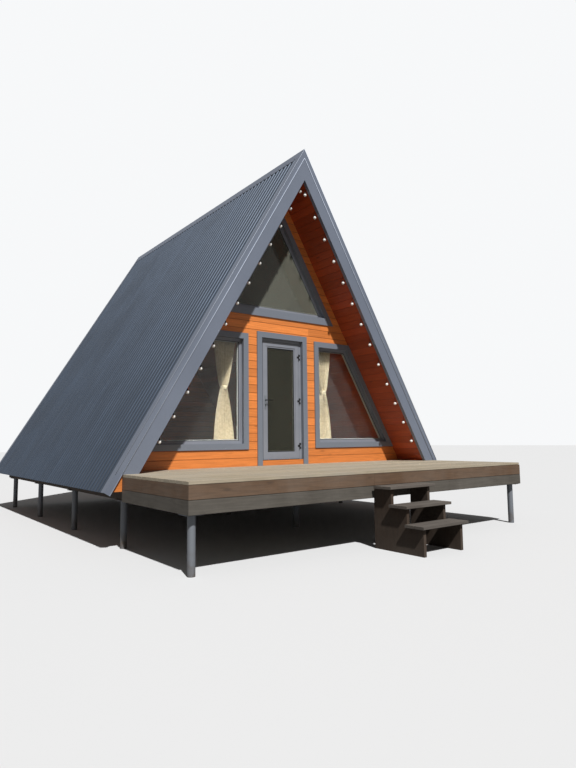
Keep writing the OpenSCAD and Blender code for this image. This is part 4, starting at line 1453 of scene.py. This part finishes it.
class CABIN_OT_stage(bpy.types.Operator):
    """Sets the floor, the light and the camera"""

    bl_idname = "cabin.stage"
    bl_label = "Stage"

    def execute(self, context):
        scene = context.scene
        half, ground = 90.0, CAD_BOX[0][2] - 0.001
        bounced, shown = (0.19, 0.19, 0.19), (0.68, 0.68, 0.68)
        bm = bmesh.new()
        bm.faces.new([bm.verts.new((x, y, ground)) for x, y in box_outline(-half, half, -half, half)])
        look = Finish("studio_floor")
        seen = look.add("ShaderNodeLightPath").outputs["Is Camera Ray"]
        look.feed(Base_Color=look.mix(seen, bounced, shown), Roughness=0.9)
        make_piece("studio_floor", bm, "studio_floor")

        scene.world = bpy.data.worlds.new("Studio")
        scene.world.use_nodes = True
        sky = Graph(scene.world.node_tree)
        sky.tree.nodes.clear()
        ray = sky.add("ShaderNodeLightPath").outputs
        seen = sky.calc("MAXIMUM", ray["Is Camera Ray"], sky.times(ray["Is Glossy Ray"], 0.25))
        seen = sky.calc("MAXIMUM", seen, ray["Is Transmission Ray"])
        ambient = sky.out("ShaderNodeBackground", {"Color": (1, 1, 1), "Strength": 0.12})
        backdrop = sky.out("ShaderNodeBackground", {"Color": (0.93, 0.94, 0.95), "Strength": 1.0})
        sky.add("ShaderNodeOutputWorld", {
            0: sky.out("ShaderNodeMixShader", {0: seen, 1: ambient, 2: backdrop})})

        light = bpy.data.lights.new("Key", "SUN")
        light.energy = 4.55
        light.angle = math.radians(1.5)
        sunbeam = heading(16.5, -51)
        show("Key", light).rotation_euler = sunbeam.to_track_quat("-Z", "Y").to_euler()

        lens = bpy.data.cameras.new("Camera")
        lens.sensor_fit = "AUTO"
        lens.sensor_width = 36.0
        lens.lens = 26.89
        lens.clip_end = 500.0
        scene.camera = show("Camera", lens)
        bearing, roll = 37.17, math.radians(-0.65)
        ahead, right = heading(bearing, 5.58), heading(bearing + 90, 0)
        up = right.cross(ahead)
        side = right * math.cos(roll) + up * math.sin(roll)
        above = right * -math.sin(roll) + up * math.cos(roll)
        matrix = Matrix((side, above, -ahead)).transposed().to_4x4()
        matrix.translation = (-5.797, low("deck_floor").y - 5.339, DECK_Z + 0.412)
        scene.camera.matrix_world = matrix
        scene.view_settings.view_transform = "Standard"
        return {"FINISHED"}


class CABIN_PT_panel(bpy.types.Panel):
    """Lists the cabin's settings and steps"""

    bl_idname = "CABIN_PT_panel"
    bl_label = "A-frame cabin"
    bl_space_type = "VIEW_3D"
    bl_region_type = "UI"
    bl_category = "Cabin"

    def draw(self, context):
        for group in SETTINGS:
            settings = getattr(context.scene, group)
            box = self.layout.box()
            for name in settings.bl_rna.properties.keys():
                if name not in ("rna_type", "name"):
                    box.prop(settings, name)
        for operator in STEPS:
            self.layout.operator(operator.bl_idname)


SETTINGS = {"cabin_boards": CabinBoardSettings, "cabin_finishes": CabinFinishSettings,
            "cabin_fittings": CabinFittingSettings}
STEPS = (CABIN_OT_finishes, CABIN_OT_stage, CABIN_OT_gables, CABIN_OT_lining, CABIN_OT_decking,
         CABIN_OT_rim, CABIN_OT_trims, CABIN_OT_seals, CABIN_OT_door_hardware, CABIN_OT_lamps,
         CABIN_OT_curtains, CABIN_OT_fasteners, CABIN_OT_pile_bolts)
CLASSES = (*SETTINGS.values(), *STEPS, CABIN_PT_panel)


def register():
    for cls in CLASSES:
        bpy.utils.register_class(cls)
    for name, settings in SETTINGS.items():
        setattr(bpy.types.Scene, name, PointerProperty(type=settings))


def unregister():
    for name in SETTINGS:
        delattr(bpy.types.Scene, name)
    for cls in reversed(CLASSES):
        bpy.utils.unregister_class(cls)


def main():
    register()
    bpy.ops.cabin.finishes()
    bpy.ops.cabin.stage()
    bpy.ops.cabin.gables()
    bpy.ops.cabin.lining()
    bpy.ops.cabin.decking()
    bpy.ops.cabin.rim()
    bpy.ops.cabin.trims()
    bpy.ops.cabin.seals()
    bpy.ops.cabin.door_hardware()
    bpy.ops.cabin.lamps()
    bpy.ops.cabin.curtains()
    bpy.ops.cabin.fasteners()
    bpy.ops.cabin.pile_bolts()


if __name__ == "__main__":
    main()
